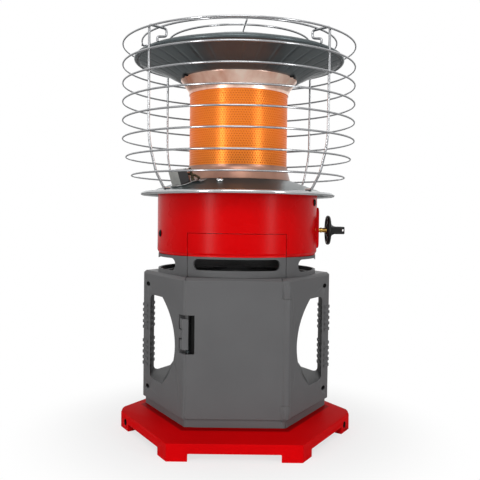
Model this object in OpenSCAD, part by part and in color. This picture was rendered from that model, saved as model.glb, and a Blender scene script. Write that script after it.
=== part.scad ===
// Portable propane heater: a hexagonal housing for one small gas cylinder, with a round
// control drum, a radiant burner, a reflector and a wire guard.
// Millimetres. Origin on the burner axis at floor level, +Z up, the door faces -Y.

/* [Base] */
// Circumradius of the hexagonal base, flats facing front and back
base_r = 153.4; // [148:0.2:165]
// Half width across the clipped left and right tips
base_tip_x = 147.7; // [143:0.2:149]
// Height of the feet below the side faces
foot_h = 8.9; // [6:0.1:14]
// Reach of each front and rear foot from its corner
foot_reach = 24; // [16:0.5:32]
// Reach of the left and right feet from the unclipped tip
tip_foot_reach = 36; // [30:0.5:44]
// Height of the upright side faces
base_side_h = 11.5; // [9:0.1:18]
// Rise of the sloping top
base_rise = 7.6; // [5:0.1:9]
// Height of the plinth that carries the housing
plinth_h = 1.5; // [1:0.1:4]
// Step in from the housing skirt to the plinth
plinth_inset = 1.2; // [0.6:0.1:2.5]
// Wall of the base moulding
base_wall = 3; // [2:0.1:4]
// Radius of the tie-down holes beside the left and right tips
tie_hole_r = 3; // [2:0.1:4]
// Inner radius of the ring that locates the gas cylinder
seat_ring_r = 53; // [51:0.5:60]
// Height of the locating ring
seat_ring_h = 6.5; // [3:0.5:9]

/* [Housing] */
// Circumradius of the housing hexagon
house_r = 121.5; // [119.5:0.1:124]
// Circumradius of the skirt under the housing
skirt_r = 118.1; // [117:0.1:119]
// Height of the skirt
skirt_h = 9.9; // [9:0.1:14]
// Height of the housing above the skirt
body_h = 164.1; // [160:0.1:180]
// Outer radius of the vertical folds
fold_r = 6; // [4:0.1:7]
// Chamfer around the top of the housing
top_chamfer = 3.5; // [1:0.1:5]
// Wall of the housing mouldings
house_wall = 3; // [2:0.1:3.5]
// Radius of the opening in the top of the housing
top_hole_r = 90; // [80:0.5:94]

/* [Handles] */
// Nearest approach of the hand opening to the axis
handle_in = 72; // [68:0.5:80]
// Outer edge of the hand opening
handle_out = 109.5; // [108:0.1:110.5]
// Lower edge of the hand opening, above the skirt
handle_up = 28; // [24:0.5:32]
// Height of the hand opening
handle_h = 107; // [90:0.5:112]
// Radius of the bulging inner edge of the hand opening
handle_arc_r = 86; // [70:0.5:110]
// Corner radius of the hand opening
handle_corner = 6; // [3:0.5:9]
// Ridges in each group on the grip
ridge_count = 5; // [3:1:6]
// Spacing of the ridges
ridge_pitch = 7.3; // [6:0.1:8]
// Thickness of one ridge
ridge_w = 3.4; // [2:0.1:4]
// Height of the ridges above the grip
ridge_proud = 1.2; // [0.4:0.1:1.6]
// Distance of the handle screws from the axis
handle_screw_x = 113; // [112:0.1:114]
// Distance of the handle screws from the ends of the hand opening
handle_screw_off = 12.5; // [11:0.1:14]

/* [Door] */
// Half width of the door
door_half = 58; // [56:0.1:58.4]
// Seam around the door
seam = 0.6; // [0.4:0.05:1]
// Depth of the hinge axis behind the two faces of the right fold
hinge_depth = 4; // [3.5:0.1:4.4]
// Radius of the hinge barrel
barrel_r = 5.5; // [5:0.1:6]
// Radius of the hinge pin
hinge_pin_r = 1.5; // [1:0.1:2]
// Height of the lower hinge knuckle above the crease
knuckle_low = 16.6; // [10:0.1:25]
// Height of the door's knuckle
knuckle_mid = 124; // [100:0.5:130]
// Height of the upper hinge knuckle
knuckle_top = 15.6; // [8:0.1:20]
// Depth of the door's edge flanges
door_flange = 9; // [5:0.5:11]
// Height of the red upper part of the door
door_red_h = 27.4; // [20:0.1:40]
// Opening angle of the door
door_open = 0; // [0:1:110]

/* [Latch] */
// Height of the latch pocket above the crease
pocket_up = 75.6; // [60:0.1:85]
// Height of the latch pocket
pocket_h = 45; // [38:0.5:55]
// Width of the finger gap beside the latch bar
finger_gap = 7.4; // [6:0.1:10]
// Width of the latch bar
latch_w = 6.8; // [5:0.1:7.5]
// Depth of the pocket
pocket_depth = 14; // [13.5:0.1:17]
// Radius of the hollow in the housing beside the latch
scoop_r = 12.5; // [12:0.1:14]
// Clearance above and below the latch bar
latch_end_gap = 4.5; // [3:0.1:7]
// Radius of the latch pin
latch_pin_r = 1.25; // [0.8:0.05:1.5]

/* [Vent collar] */
// Outer radius of the vent collar
collar_r = 101.3; // [98:0.1:103]
// Height of the vent collar
collar_h = 23.1; // [20:0.1:30]
// Wall of the vent collar
collar_wall = 3; // [2:0.1:4]
// Height of the side slots
slot_h = 15; // [10:0.1:16]
// Height of the lip above the side slots
slot_lip = 3.3; // [2:0.1:5]
// Half angle of the side slots
slot_half = 39; // [20:1:42]
// Height of the front slot in the door
front_slot_h = 13.2; // [8:0.1:15]
// Half angle of the front slot
front_slot_half = 26.7; // [15:0.1:28]
// Height of the lip above the front slot
front_slot_lip = 2.2; // [2:0.1:5]

/* [Control drum] */
// Radius of the control drum
drum_r = 102.7; // [102:0.1:108]
// Height from the collar to the underside of the deck rim
drum_h = 73.4; // [70:0.1:90]
// Sheet of the control drum
drum_wall = 1.5; // [0.8:0.1:2]
// Height of the chamfer under the drum
drum_chamfer = 4.5; // [2:0.1:6]
// Width of the seating flange inside the foot of the drum
drum_flange = 10; // [6:0.5:12]
// Height of the valve axis above the collar
valve_up = 31.4; // [31:0.1:40]
// Width of the raised plate behind the knob
bezel_w = 32; // [28:0.5:44]
// Height of the raised plate behind the knob
bezel_h = 52; // [46:1:54]
// Distance from the drum axis to the face of the raised plate
bezel_x = 104.5; // [104:0.1:110]
// Height of the left screw above the collar
drum_screw_low = 25.9; // [20:0.1:60]
// Height of the right screw above the collar
drum_screw_high = 66; // [60:0.1:68]
// Radius of the round heads on the drum
drum_head_r = 4.4; // [3:0.1:5]

/* [Valve and knob] */
// Radius of the valve stem
stem_r = 3.1; // [2.5:0.05:3.5]
// Gap between the raised plate and the knob
knob_gap = 11; // [6:0.1:14]
// Radius of the knob
knob_r = 19; // [15:0.5:22]
// Thickness of the knob disc
knob_disc_h = 6.8; // [6:0.1:12]
// Thickness of the grip bar
grip_t = 9.5; // [7:0.5:12]
// Length of the grip bar across the knob
grip_l = 32; // [24:0.5:36]
// Reach of the grip bar beyond the disc
grip_out = 15.2; // [10:0.1:20]
// Travel of the knob when pushed in
push_travel = 3; // [1:0.1:4]
// Radius of the valve rotor
rotor_r = 6; // [5:0.1:6.5]
// Running clearance of shafts in bores
run_gap = 0.05; // [0.02:0.01:0.1]

/* [Regulator] */
// Radius of the regulator body
reg_r = 20; // [19:0.5:23]
// Radius of the diaphragm housing
diaphragm_r = 24; // [23:0.5:24]
// Radius of the cylinder inlet bore, for the neck of a one inch threaded cylinder
inlet_r = 12.75; // [12.6:0.05:13]
// Depth of the cylinder inlet bore
inlet_h = 11; // [10:0.5:12]
// Radius of the inlet seal
seal_r = 10; // [8:0.1:12]
// Thickness of the inlet seal
seal_t = 2; // [1:0.1:2.5]
// Width of the steel strap that carries the regulator
strap_w = 26; // [20:0.5:26]
// Sheet of the strap
strap_t = 2; // [1.2:0.1:3]
// Distance of the deck screws from the axis
deck_screw_r = 83; // [78:0.5:90]
// Angle of the strap, clockwise from the front
strap_turn = 15.4; // [5:0.1:25]

/* [Deck] */
// Outer radius of the deck
deck_r = 124.8; // [122:0.1:130]
// Radius of the rolled edge
deck_bead_r = 2.5; // [1.5:0.1:3]
// Radius of the foot of the cone
deck_cone_r = 118; // [112:0.5:118.5]
// Radius of the flat top of the deck
deck_top_r = 70; // [69:0.5:72]
// Rise of the deck from the underside of its rim to the flat top
deck_rise = 20; // [17:0.1:25]
// Sheet of the deck
deck_t = 1.2; // [0.8:0.1:1.5]

/* [Burner] */
// Radius of the emitter screen
screen_r = 62.8; // [60:0.1:64]
// Height of the emitter screen
screen_h = 97.6; // [80:0.1:110]
// Height of the skirt under the screen
skirt_ring_h = 17.5; // [14:0.1:22]
// Outer radius at the foot of the skirt
skirt_ring_r = 67.5; // [66:0.1:68.5]
// Sheet of the screens
screen_t = 0.8; // [0.5:0.1:1]
// Gap between the inner and outer screens
screen_gap = 2; // [1.5:0.1:4]
// Radius of the burner cup under the deck
cup_r = 56; // [52:0.5:57]
// Depth of the burner cup
cup_h = 12; // [9:0.5:16]
// Inner radius of the venturi tube
venturi_r = 9; // [7:0.5:11]
// Radius of the tie rod circle
rod_pcd_r = 30; // [22:1:44]
// Radius of the tie rods
rod_r = 2; // [1.5:0.1:2.5]

/* [Reflector] */
// Radius of the flared ring at the top of the screen
flare_r = 77.5; // [74:0.1:82]
// Height of the flared ring
flare_h = 16.4; // [12:0.1:22]
// Outer radius of the reflector
reflector_r = 134; // [128:0.5:138]
// Rise of the reflector from its flat to its rim
reflector_rise = 23.8; // [16:0.1:28]
// Radius of the reflector's rolled edge
reflector_bead = 2.6; // [1.5:0.1:3]
// Rise of the cover from the rim to its flat top
cover_rise = 17.2; // [12:0.1:22]
// Radius of the flat top of the cover
cover_top_r = 72; // [65:0.5:80]
// Rise of the domed top of the cover
cover_dome = 4.3; // [2:0.1:6]
// Radius of the change of slope in the reflector
reflector_knee_r = 98.5; // [90:0.5:110]
// Height of the change of slope above the reflector's flat
reflector_knee_h = 10.6; // [8:0.1:12]
// Inner end of the radial wires on the cover
radial_in_r = 57; // [50:0.5:70]
// Sheet of the reflector and cover
reflector_t = 1; // [0.8:0.1:1.2]

/* [Guard] */
// Radius of the guard at the middle of its hoop wires
guard_r = 147.6; // [146:0.1:152]
// Radius of the hoop wires
wire_r = 1.2; // [1:0.05:1.4]
// Radius of the upright wires
upright_r = 1.5; // [1.3:0.05:1.8]
// Height of the top hoop above the reflector rim
guard_over = 16.5; // [12:0.1:20]
// Drop from the top hoop to the second
guard_first_drop = 25.4; // [20:0.1:28]
// Spacing of the lower hoops
guard_pitch = 23; // [20:0.1:23.4]
// Height of the bend in the uprights above the deck
guard_bend_up = 41; // [38:0.5:48]
// Inward slope of the uprights below the bend, per unit height
guard_slope = 0.31; // [0.25:0.01:0.35]
// Radius of the outer ring on top of the guard
top_ring_r = 124; // [120:0.5:128]
// Radius of the inner ring on top of the guard
inner_ring_r = 90; // [80:0.5:100]
// Number of uprights
upright_count = 4; // [3:1:6]
// Number of radial wires on top
radial_count = 4; // [3:1:6]

/* [Hidden] */
$fn = 96;

big = 400;
tight = 0.05;
loose = 0.3;
wedge = 60;

z_edge = foot_h + base_side_h;
z_slope = z_edge + base_rise;
z_plinth = z_slope + plinth_h;
z_crease = z_plinth + skirt_h;
z_top = z_crease + body_h;
z_collar = z_top + collar_h;
z_rim = z_collar + drum_h;
z_deck = z_rim + deck_rise;
z_valve = z_collar + valve_up;
z_screen = z_deck + skirt_ring_h - 3.5;
z_flare = z_screen + screen_h;
z_reflector = z_flare + flare_h;
z_rim_top = z_reflector + reflector_rise + reflector_bead;
z_cover = z_rim_top + cover_rise;

plinth_r = skirt_r - plinth_inset;
slope_angle = atan(base_rise / (apothem(base_r) - apothem(skirt_r + 1)));
tie_hole_along = 27;
base_screw_r = 99.5;
base_screw_turn = 45;
base_shank_r = 1.9;
screw_engage = 8;
post_r = 5;

handle_z = z_crease + min(handle_up, (body_h - handle_h) / 2);
handle_mid = handle_z + handle_h / 2;
handle_screw_low = handle_z - handle_screw_off;
handle_screw_high = handle_z + handle_h + handle_screw_off;
grip_shank_r = 1.5;
grip_head_r = 2.8;
grip_head_h = 2.6;
grip_head_y = 6;
grip_screw_l = 15;
ridge_group_off = handle_h * 0.22;

hinge_r = (apothem(house_r) - hinge_depth) / cos(30);
hinge_x = hinge_r * sin(30);
hinge_y = -hinge_r * cos(30);
hinge_clear = barrel_r + loose;
hinge_wall_r = hinge_clear + 0.6;
door_reach = hinge_x + door_half + 0.35;
z_door = z_crease + seam;
z_hinge0 = z_crease + 1.6;
z_hinge1 = z_crease + knuckle_low;
z_hinge2 = min(z_hinge1 + knuckle_mid, z_top - top_chamfer - knuckle_top);
z_hinge3 = z_hinge2 + knuckle_top;
face_y = -apothem(house_r);

z_pocket = z_crease + pocket_up;
latch_right = -door_half + 3;
pocket_right = latch_right + finger_gap;
pocket_floor = face_y + pocket_depth;
latch_pin_x = latch_right - 0.8;
latch_pin_y = face_y + 8.6;
latch_hub_r = 3;
latch_front = face_y + 1.6;
latch_nose_x = latch_right - latch_w + 0.2;
latch_nose_y = latch_pin_y + 1.2;
catch_x = latch_nose_x - 0.6;
catch_h = 10;
scoop_x = -door_half;
scoop_y = face_y + 2.2;
pocket_wall = 2;

z_slot = z_collar - slot_lip - slot_h;
z_front_slot = z_collar - front_slot_lip - front_slot_h;
z_door_red = z_collar + door_red_h;

deck_slope = atan((deck_rise - 3) / (deck_cone_r - deck_top_r));
function deck_z(r) = z_rim + 3 + max(0, deck_cone_r - max(r, deck_top_r)) * tan(deck_slope);
function deck_under(r) = deck_z(r) - deck_t / cos(deck_slope);
z_drum_top = deck_under(drum_r) - tight;
bezel_z = z_valve + 3;

reg_h = 20;
z_reg = z_valve - reg_h / 2 - 8;
z_shoulder = z_reg + reg_h + 8;
z_inlet = z_reg - 14;
neck_r = 8;
socket_r = 16.5;
arm_r = 9.5;
arm_x = 64;
nut_t = 7;
rotor_x = 44;
valve_nut_t = 8;
stem_in = 46;
collar_x = 84;
stem_collar_r = 5;
stem_collar_t = 2;
knob_x = bezel_x + knob_gap;
knob_back_t = 5;
grip_end = knob_x + knob_disc_h + grip_out;
stem_out = knob_x + knob_disc_h + 5;
cap_x = -(reg_r + 7);
cap_t = 3;
dome_r = 17;
dome_h = 9;
cap_screw_circle = 20.5;
cap_screw_r = 1.2;

cup_floor_t = 1.2;
z_cup = z_deck - cup_h;
cup_flange_r = cup_r + 6;
inner_r = screen_r - screen_t - screen_gap;
z_baffle = z_flare - 1.6;
baffle_t = 1.2;
rod_top = z_reflector + reflector_t + 5;

reflector_flat_r = flare_r + 0.6;
rim_ring_r = reflector_r - reflector_bead;
cover_edge_r = rim_ring_r - 1;

piezo_x = -15;
piezo_y = 38;
z_piezo = z_shoulder - 6.1;
pilot_turn = -46.8;
pilot_r = 88;
plate_r = 17;
plate_t = 1.5;
pipe_x = 6;
lead_drop = 16;
lead_out = 62;
lead_back = 20;

guard_z = z_reflector + reflector_rise + guard_over;
hoops = 8;
guard_bend = z_deck + guard_bend_up;
post_mid_r = guard_r - wire_r - upright_r - 0.02;
top_wire_z = guard_z + 2.7;
top_ring_z = top_wire_z + upright_r + wire_r + 0.02;
hook_r = top_ring_r - 4;
rest_r = rim_ring_r + 1.8;
radial_in_z = cover_z(radial_in_r) + wire_r + 0.2;
radial_out_z = top_ring_z - 2 * wire_r - 0.02;
radial_rise = (radial_in_z - radial_out_z) / (top_ring_r + 1 - radial_in_r);
inner_ring_z = radial_out_z + radial_rise * (top_ring_r + 1 - inner_ring_r) + 2 * wire_r + 0.02;
foot_wire_z = z_rim + 2 * deck_bead_r + upright_r + tight;
radial_turn = 3.6;

// Distance from the centre of a hexagon to its flats
function apothem(r) = r * cos(30);
// Radius of the middle of an upright wire at height z
function post_r_at(z) = post_mid_r - max(0, guard_bend - z) * guard_slope;
// Distance between the centre of a hoop and the centre of the upright that it lies against
function hoop_off(z) = (wire_r + upright_r) / (z < guard_bend ? cos(atan(guard_slope)) : 1) + 0.02;
// Height of the upper face of the cover inside its change of slope, at radius r
function cover_z(r) = z_cover + reflector_t
    + cover_dome * (r > cover_top_r / 2 ? 1.4 * (1 - r / cover_top_r) : 1 - 0.6 * r / cover_top_r);
// Height of hoop i, counted from the top
function hoop_z(i) = guard_z - (i > 0 ? guard_first_drop + (i - 1) * guard_pitch : 0);
// Radius of a hoop that lies against the outside of the uprights
function hoop_r(z) = post_r_at(z) + hoop_off(z);

// Places children on a line from the axis, turned by a degrees from the front towards the right
module around(a) {
    rotate([0, 0, a - 90]) children();
}

// Cylinder along +X
module rod_x(r, l) {
    rotate([0, 90, 0]) cylinder(r = r, h = l);
}

// Hexagonal prism with sharp corners at the left and right
module hex_prism(r, h) {
    cylinder(r = r, h = h, $fn = 6);
}

// Hexagon outline with rounded corners
module round_hex(r, c) {
    middle = r - c / cos(30);
    polygon([for (i = [0:5], s = [-30, 30])
        middle * [cos(60 * i), sin(60 * i)] + c * [cos(60 * i + s), sin(60 * i + s)]]);
    for (i = [0:5])
        rotate([0, 0, 60 * i]) translate([middle, 0]) circle(r = c);
}

module round_prism(r, h, c) {
    linear_extrude(height = h) round_hex(r, c);
}

// Rectangle with rounded corners, its lower left corner at the origin
module round_rect(w, h, c) {
    translate([c, 0]) square([w - 2 * c, h]);
    translate([0, c]) square([w, h - 2 * c]);
    for (x = [c, w - c], y = [c, h - c])
        translate([x, y]) circle(r = c);
}

// Removes what lies above six planes that fall outwards from the edges of a hexagon
module slope_cut(a, z, angle) {
    for (i = [0:5])
        rotate([0, 0, 60 * i + 30]) translate([a, 0, z]) rotate([0, angle, 0])
            translate([-big / 2, -big / 2, 0]) cube([big, big, wedge]);
}

// Box that is symmetric in X
module wide_box(x, y0, y1, z0, z1) {
    translate([-x, y0, z0]) cube([2 * x, y1 - y0, z1 - z0]);
}

// Hollow cylinder
module tube(ro, ri, h) {
    difference() {
        cylinder(r = ro, h = h);
        translate([0, 0, -1]) cylinder(r = ri, h = h + 2);
    }
}

// Round wire through a list of points, with round corners
module wire(points, r) {
    for (i = [0:len(points) - 2]) {
        d = points[i + 1] - points[i];
        translate(points[i])
            rotate([0, acos(d[2] / norm(d)), atan2(d[1], d[0])])
                cylinder(r = r, h = norm(d), $fn = 24);
    }
    if (len(points) > 2)
        for (i = [1:len(points) - 2])
            translate(points[i]) sphere(r = r * 1.06, $fn = 24);
}

// Coil spring along +Z, its lowest wire resting at z = 0
module coil(r, wire_t, l, turns) {
    steps = turns * 16;
    sides = 8;
    rise = l - 2 * wire_t;
    rings = [for (i = [0:steps]) for (k = [0:sides - 1])
        let (a = 360 * i / 16, b = 360 * k / sides)
        [(r + wire_t * cos(b)) * cos(a), (r + wire_t * cos(b)) * sin(a),
         wire_t + rise * i / steps + wire_t * sin(b)]];
    skin = [for (i = [0:steps - 1]) for (k = [0:sides - 1])
        let (n = (k + 1) % sides)
        [i * sides + k, i * sides + n, (i + 1) * sides + n, (i + 1) * sides + k]];
    polyhedron(points = rings, faces = concat([for (f = skin) [f[3], f[2], f[1], f[0]]],
        [[for (k = [0:sides - 1]) k], [for (k = [sides - 1:-1:0]) steps * sides + k]]));
}

// Ring of sheet metal turned from an outline
module turned(points) {
    rotate_extrude() polygon(points);
}

// Places children on the slope of the deck, +Z square to the sheet and +X downhill
module on_deck(a, r) {
    around(a) translate([r, 0, deck_z(r)]) rotate([0, deck_slope, 0]) children();
}

// ---- base ----

module base_outline(r, tip, h) {
    intersection() {
        hex_prism(r, h);
        wide_box(tip, -big / 2, big / 2, 0, h);
    }
}

module base_feet(z0, z1) {
    for (i = [0:5])
        rotate([0, 0, 60 * i]) translate([base_r, 0, z0])
            cylinder(r = i % 3 == 0 ? tip_foot_reach : foot_reach, h = z1 - z0);
}

module base_screw_places() {
    for (a = [base_screw_turn, 180 - base_screw_turn, 180 + base_screw_turn, 360 - base_screw_turn])
        around(a) translate([base_screw_r, 0, 0]) children();
}

module base() {
    inner_r0 = base_r - base_wall / cos(30);
    color([0.80, 0.03, 0.05]) difference() {
        union() {
            difference() {
                translate([0, 0, foot_h]) base_outline(base_r, base_tip_x, base_side_h + base_rise);
                slope_cut(apothem(base_r), z_edge, slope_angle);
                difference() {
                    translate([0, 0, foot_h - 1])
                        base_outline(inner_r0, base_tip_x - base_wall, z_slope - base_wall - foot_h + 1);
                    slope_cut(apothem(inner_r0), z_edge - base_wall / cos(slope_angle), slope_angle);
                    base_feet(foot_h - 2, z_edge - base_wall);
                }
            }
            intersection() {
                base_outline(base_r, base_tip_x, foot_h + 1);
                base_feet(0, foot_h + 1);
            }
            translate([0, 0, z_slope - 1]) hex_prism(plinth_r, plinth_h + 1);
            translate([0, 0, z_plinth - 1]) tube(seat_ring_r + 2.5, seat_ring_r, seat_ring_h + 1);
        }
        for (s = [0, 180], side = [-1, 1])
            rotate([0, 0, s]) translate([base_r, 0, foot_h]) rotate([0, 0, side * 30])
                translate([-8, side * tie_hole_along, 0]) rod_x(tie_hole_r, 20);
        base_screw_places() translate([0, 0, z_slope - base_wall - 1])
            cylinder(r = base_shank_r + tight, h = base_wall + plinth_h + 2);
    }
}

module base_screws() {
    color("silver") base_screw_places() {
        translate([0, 0, z_slope - base_wall - 2.5]) cylinder(r = 4, h = 2.5);
        translate([0, 0, z_slope - base_wall - 0.5])
            cylinder(r = base_shank_r, h = base_wall + plinth_h + screw_engage - 1);
    }
}

// ---- housing ----

module housing_outer() {
    translate([0, 0, z_plinth]) round_prism(skirt_r, skirt_h + 1, fold_r);
    difference() {
        translate([0, 0, z_crease]) round_prism(house_r, body_h, fold_r);
        slope_cut(apothem(house_r) - top_chamfer, z_top, 45);
    }
}

module housing_cavity() {
    translate([0, 0, z_plinth - 1])
        hex_prism(skirt_r - house_wall / cos(30), skirt_h + house_wall + 1);
    translate([0, 0, z_crease + house_wall - 0.5])
        hex_prism(house_r - house_wall / cos(30), body_h - 2 * house_wall + 0.5);
}

// Outline of a hand opening, seen from the front, grown outwards by g
module handle_outline(g) {
    intersection() {
        translate([handle_in + handle_arc_r, handle_mid]) circle(r = handle_arc_r + g);
        translate([handle_in - 20, handle_z - g])
            round_rect(handle_out - handle_in + 20 + g, handle_h + 2 * g, handle_corner + g);
    }
}

module both_handles(g) {
    for (m = [0, 1])
        mirror([m, 0, 0]) rotate([90, 0, 0])
            linear_extrude(height = big, center = true) handle_outline(g);
}

// Feet of the ridges on the right grip and on the left one
module grip_ridge_places() {
    for (m = [0, 1], g = [-1, 1], i = [0:ridge_count - 1])
        mirror([m, 0, 0])
            translate([0, 0, handle_mid + g * ridge_group_off
                + (i - (ridge_count - 1) / 2) * ridge_pitch - ridge_w / 2]) children();
}

module outer_ridges() {
    grip_ridge_places() intersection() {
        round_prism(house_r + ridge_proud, ridge_w, fold_r);
        translate([handle_screw_x + 1, -20, -1]) cube([20, 40, ridge_w + 2]);
    }
}

module inner_ridges() {
    half = (house_r - handle_out) * tan(60) - 1;
    grip_ridge_places() translate([handle_out - ridge_proud, -half, 0])
        cube([ridge_proud + 0.5, 2 * half, ridge_w]);
}

module handle_screw_places() {
    for (x = [-handle_screw_x, handle_screw_x], z = [handle_screw_low, handle_screw_high])
        translate([x, 0, z]) rotate([-90, 0, 0]) children();
}

module housing_shell() {
    inner_ridges();
    difference() {
        union() {
            difference() {
                housing_outer();
                housing_cavity();
            }
            intersection() {
                housing_outer();
                union() {
                    both_handles(house_wall);
                    handle_screw_places() cylinder(r = post_r, h = 40, center = true);
                }
            }
            outer_ridges();
            base_screw_places() translate([0, 0, z_plinth]) cylinder(r = post_r, h = skirt_h + 4);
        }
        both_handles(0);
        translate([0, 0, z_top - house_wall - 1]) cylinder(r = top_hole_r, h = house_wall + 2);
        base_screw_places() translate([0, 0, z_plinth - 1])
            cylinder(r = base_shank_r + tight, h = screw_engage + 1);
        handle_screw_places() {
            translate([0, 0, -grip_head_y]) cylinder(r = grip_shank_r + tight, h = grip_screw_l);
            translate([0, 0, -30]) cylinder(r = grip_head_r + 0.2, h = 30 - grip_head_y);
        }
    }
}

module door_opening() {
    wide_box(door_half + seam, -big / 2, -top_hole_r * 0.6, z_crease, z_top + 1);
}

module hinge_axis() {
    translate([hinge_x, hinge_y, 0]) children();
}

module latch_scoop(r) {
    translate([scoop_x, scoop_y, z_pocket]) cylinder(r = r, h = pocket_h);
}

module housing_front() {
    color([0.39, 0.39, 0.39]) difference() {
        union() {
            difference() {
                intersection() {
                    housing_shell();
                    wide_box(big, -big / 2, 0, 0, big);
                }
                door_opening();
                hinge_axis() translate([0, 0, z_crease]) cylinder(r = hinge_clear, h = body_h + 1);
            }
            intersection() {
                housing_outer();
                hinge_axis() translate([0, 0, z_crease - 1]) cylinder(r = hinge_wall_r, h = z_hinge1 - z_crease + 1);
                translate([hinge_x - barrel_r, -big / 2, 0]) cube([big, big, big]);
            }
            intersection() {
                housing_outer();
                hinge_axis() translate([0, 0, z_hinge2]) cylinder(r = hinge_wall_r, h = z_top - z_hinge2);
                translate([hinge_x - barrel_r, -big / 2, 0]) cube([big, big, big]);
            }
            hinge_axis() translate([0, 0, z_hinge0]) cylinder(r = barrel_r, h = z_hinge1 - z_hinge0);
            hinge_axis() translate([0, 0, z_hinge2]) cylinder(r = barrel_r, h = z_hinge3 - z_hinge2);
            intersection() {
                translate([scoop_x, scoop_y, z_pocket - pocket_wall])
                    cylinder(r = scoop_r + pocket_wall, h = pocket_h + 2 * pocket_wall);
                translate([-big / 2 - door_half - seam, -big / 2, 0]) cube([big / 2, big, big]);
                housing_outer();
            }
        }
        difference() {
            latch_scoop(scoop_r);
            translate([catch_x - 9, latch_nose_y - loose - 2, z_pocket + (pocket_h - catch_h) / 2]) {
                cube([9, 2, catch_h]);
                cube([7.6, 9, catch_h]);
            }
        }
        hinge_axis() translate([0, 0, z_hinge0 + 2])
            cylinder(r = hinge_pin_r + 0.02, h = z_hinge3 - z_hinge0 - 4);
    }
}

module housing_rear() {
    color([0.39, 0.39, 0.39]) intersection() {
        housing_shell();
        wide_box(big, 0, big / 2, 0, big);
    }
}

module housing_screws() {
    color([0.15, 0.15, 0.15]) handle_screw_places() {
        translate([0, 0, -grip_head_y - grip_head_h]) cylinder(r = grip_head_r, h = grip_head_h);
        translate([0, 0, -grip_head_y - 0.5]) cylinder(r = grip_shank_r, h = grip_screw_l - 1);
    }
}

// ---- door ----

// Turns children with the door
module door_turn() {
    hinge_axis() rotate([0, 0, door_open]) translate([-hinge_x, -hinge_y, 0]) children();
}

// Everything in front of the middle that the door may fill, drawn in by g at both sides
module door_zone(g, z0, z1) {
    wide_box(door_half - g, -big / 2, -40, z0, z1);
}

module pocket_box(g) {
    translate([-door_half - (g > 0 ? 0 : 2), face_y - (g > 0 ? -1 : 2), z_pocket - g])
        cube([pocket_right + door_half + g + (g > 0 ? 0 : 2),
              pocket_depth + (g > 0 ? g - 1 : 2), pocket_h + 2 * g]);
}

module door_panel() {
    plate_y = face_y + house_wall;
    color([0.40, 0.40, 0.40]) door_turn() difference() {
        intersection() {
            union() {
                difference() {
                    intersection() {
                        housing_outer();
                        door_zone(0, z_door, z_top - loose);
                    }
                    translate([0, 0, z_door - 1])
                        wide_box(big, plate_y, 0, 0, z_top - loose - house_wall - z_door + 1);
                    translate([0, 0, z_top - 2 * house_wall]) cylinder(r = collar_r - 7, h = 3 * house_wall);
                }
                translate([-door_half + 2, plate_y - 1, z_door]) cube([2 * door_half - 14, door_flange, 2.5]);
                translate([-door_half, plate_y - 1, z_door]) cube([2.5, door_flange, z_top - z_door - house_wall]);
                pocket_box(pocket_wall);
            }
            translate([hinge_x, hinge_y, 0]) cylinder(r = door_reach, h = big, $fn = 360);
        }
        pocket_box(0);
        hinge_axis() difference() {
            translate([0, 0, z_crease - 1]) cylinder(r = hinge_wall_r + loose, h = body_h + 2);
            translate([-barrel_r * 2, -barrel_r * 2, z_hinge1 + loose])
                cube([barrel_r * 4, barrel_r * 4, z_hinge2 - z_hinge1 - 2 * loose]);
        }
        translate([latch_pin_x, latch_pin_y, z_pocket - pocket_wall - 1])
            cylinder(r = latch_pin_r + 0.02, h = pocket_h + 2 * pocket_wall + 2);
        hinge_axis() translate([0, 0, z_crease]) cylinder(r = hinge_pin_r + run_gap, h = body_h);
    }
    color([0.40, 0.40, 0.40]) door_turn() hinge_axis()
        translate([0, 0, z_hinge1 + loose]) tube(barrel_r, hinge_pin_r + run_gap, z_hinge2 - z_hinge1 - 2 * loose);
}

module door_hinge_pin() {
    color("silver") hinge_axis() translate([0, 0, z_hinge0 + 2])
        cylinder(r = hinge_pin_r, h = z_hinge3 - z_hinge0 - 4);
}

// Cuts a rounded slot through a ring wall, centred on the direction a
module ring_slot(a, half, r, z, h) {
    rotate([0, 0, a - 90 - half]) translate([0, 0, z])
        rotate_extrude(angle = 2 * half) translate([r - 12, 0]) square([24, h]);
    for (s = [-1, 1])
        around(a + s * half) translate([r - 12, 0, z + h / 2]) rod_x(h / 2, 24);
}

module door_collar() {
    post_h = door_red_h - 4;
    color([0.38, 0.38, 0.38]) door_turn() difference() {
        intersection() {
            union() {
                translate([0, 0, z_top]) tube(collar_r, collar_r - collar_wall, collar_h);
                translate([0, 0, z_collar - 1])
                    tube(drum_r - drum_wall - tight, collar_r - collar_wall, post_h + 1);
            }
            door_zone(0, z_top - 1, z_collar + post_h);
        }
        ring_slot(0, front_slot_half, collar_r, z_front_slot, front_slot_h);
    }
}

module door_red_panel() {
    color([0.80, 0.02, 0.04]) door_turn() intersection() {
        difference() {
            drum_shell();
            translate([0, 0, z_collar - 1]) cylinder(r = drum_r - drum_wall, h = drum_h);
        }
        door_zone(0, z_collar, z_door_red);
    }
}

module door_latch() {
    bar_z = z_pocket + latch_end_gap;
    bar_h = pocket_h - 2 * latch_end_gap;
    nose_h = catch_h - 2;
    color([0.42, 0.42, 0.42]) door_turn() difference() {
        union() {
            translate([latch_right - latch_w, latch_front, bar_z]) cube([latch_w, 3, bar_h]);
            translate([latch_right - latch_w + 1, latch_front + 1, bar_z])
                cube([latch_w - 1, latch_pin_y - latch_front - 1, bar_h]);
            translate([latch_pin_x, latch_pin_y, bar_z - 1])
                cylinder(r = latch_hub_r, h = pocket_h - latch_end_gap + 1 - loose);
            translate([latch_nose_x, latch_nose_y, z_pocket + (pocket_h - nose_h) / 2])
                cube([latch_pin_x - latch_nose_x, 1.6, nose_h]);
        }
        translate([latch_pin_x, latch_pin_y, z_pocket - 1])
            cylinder(r = latch_pin_r + run_gap, h = pocket_h + 2);
    }
}

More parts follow.
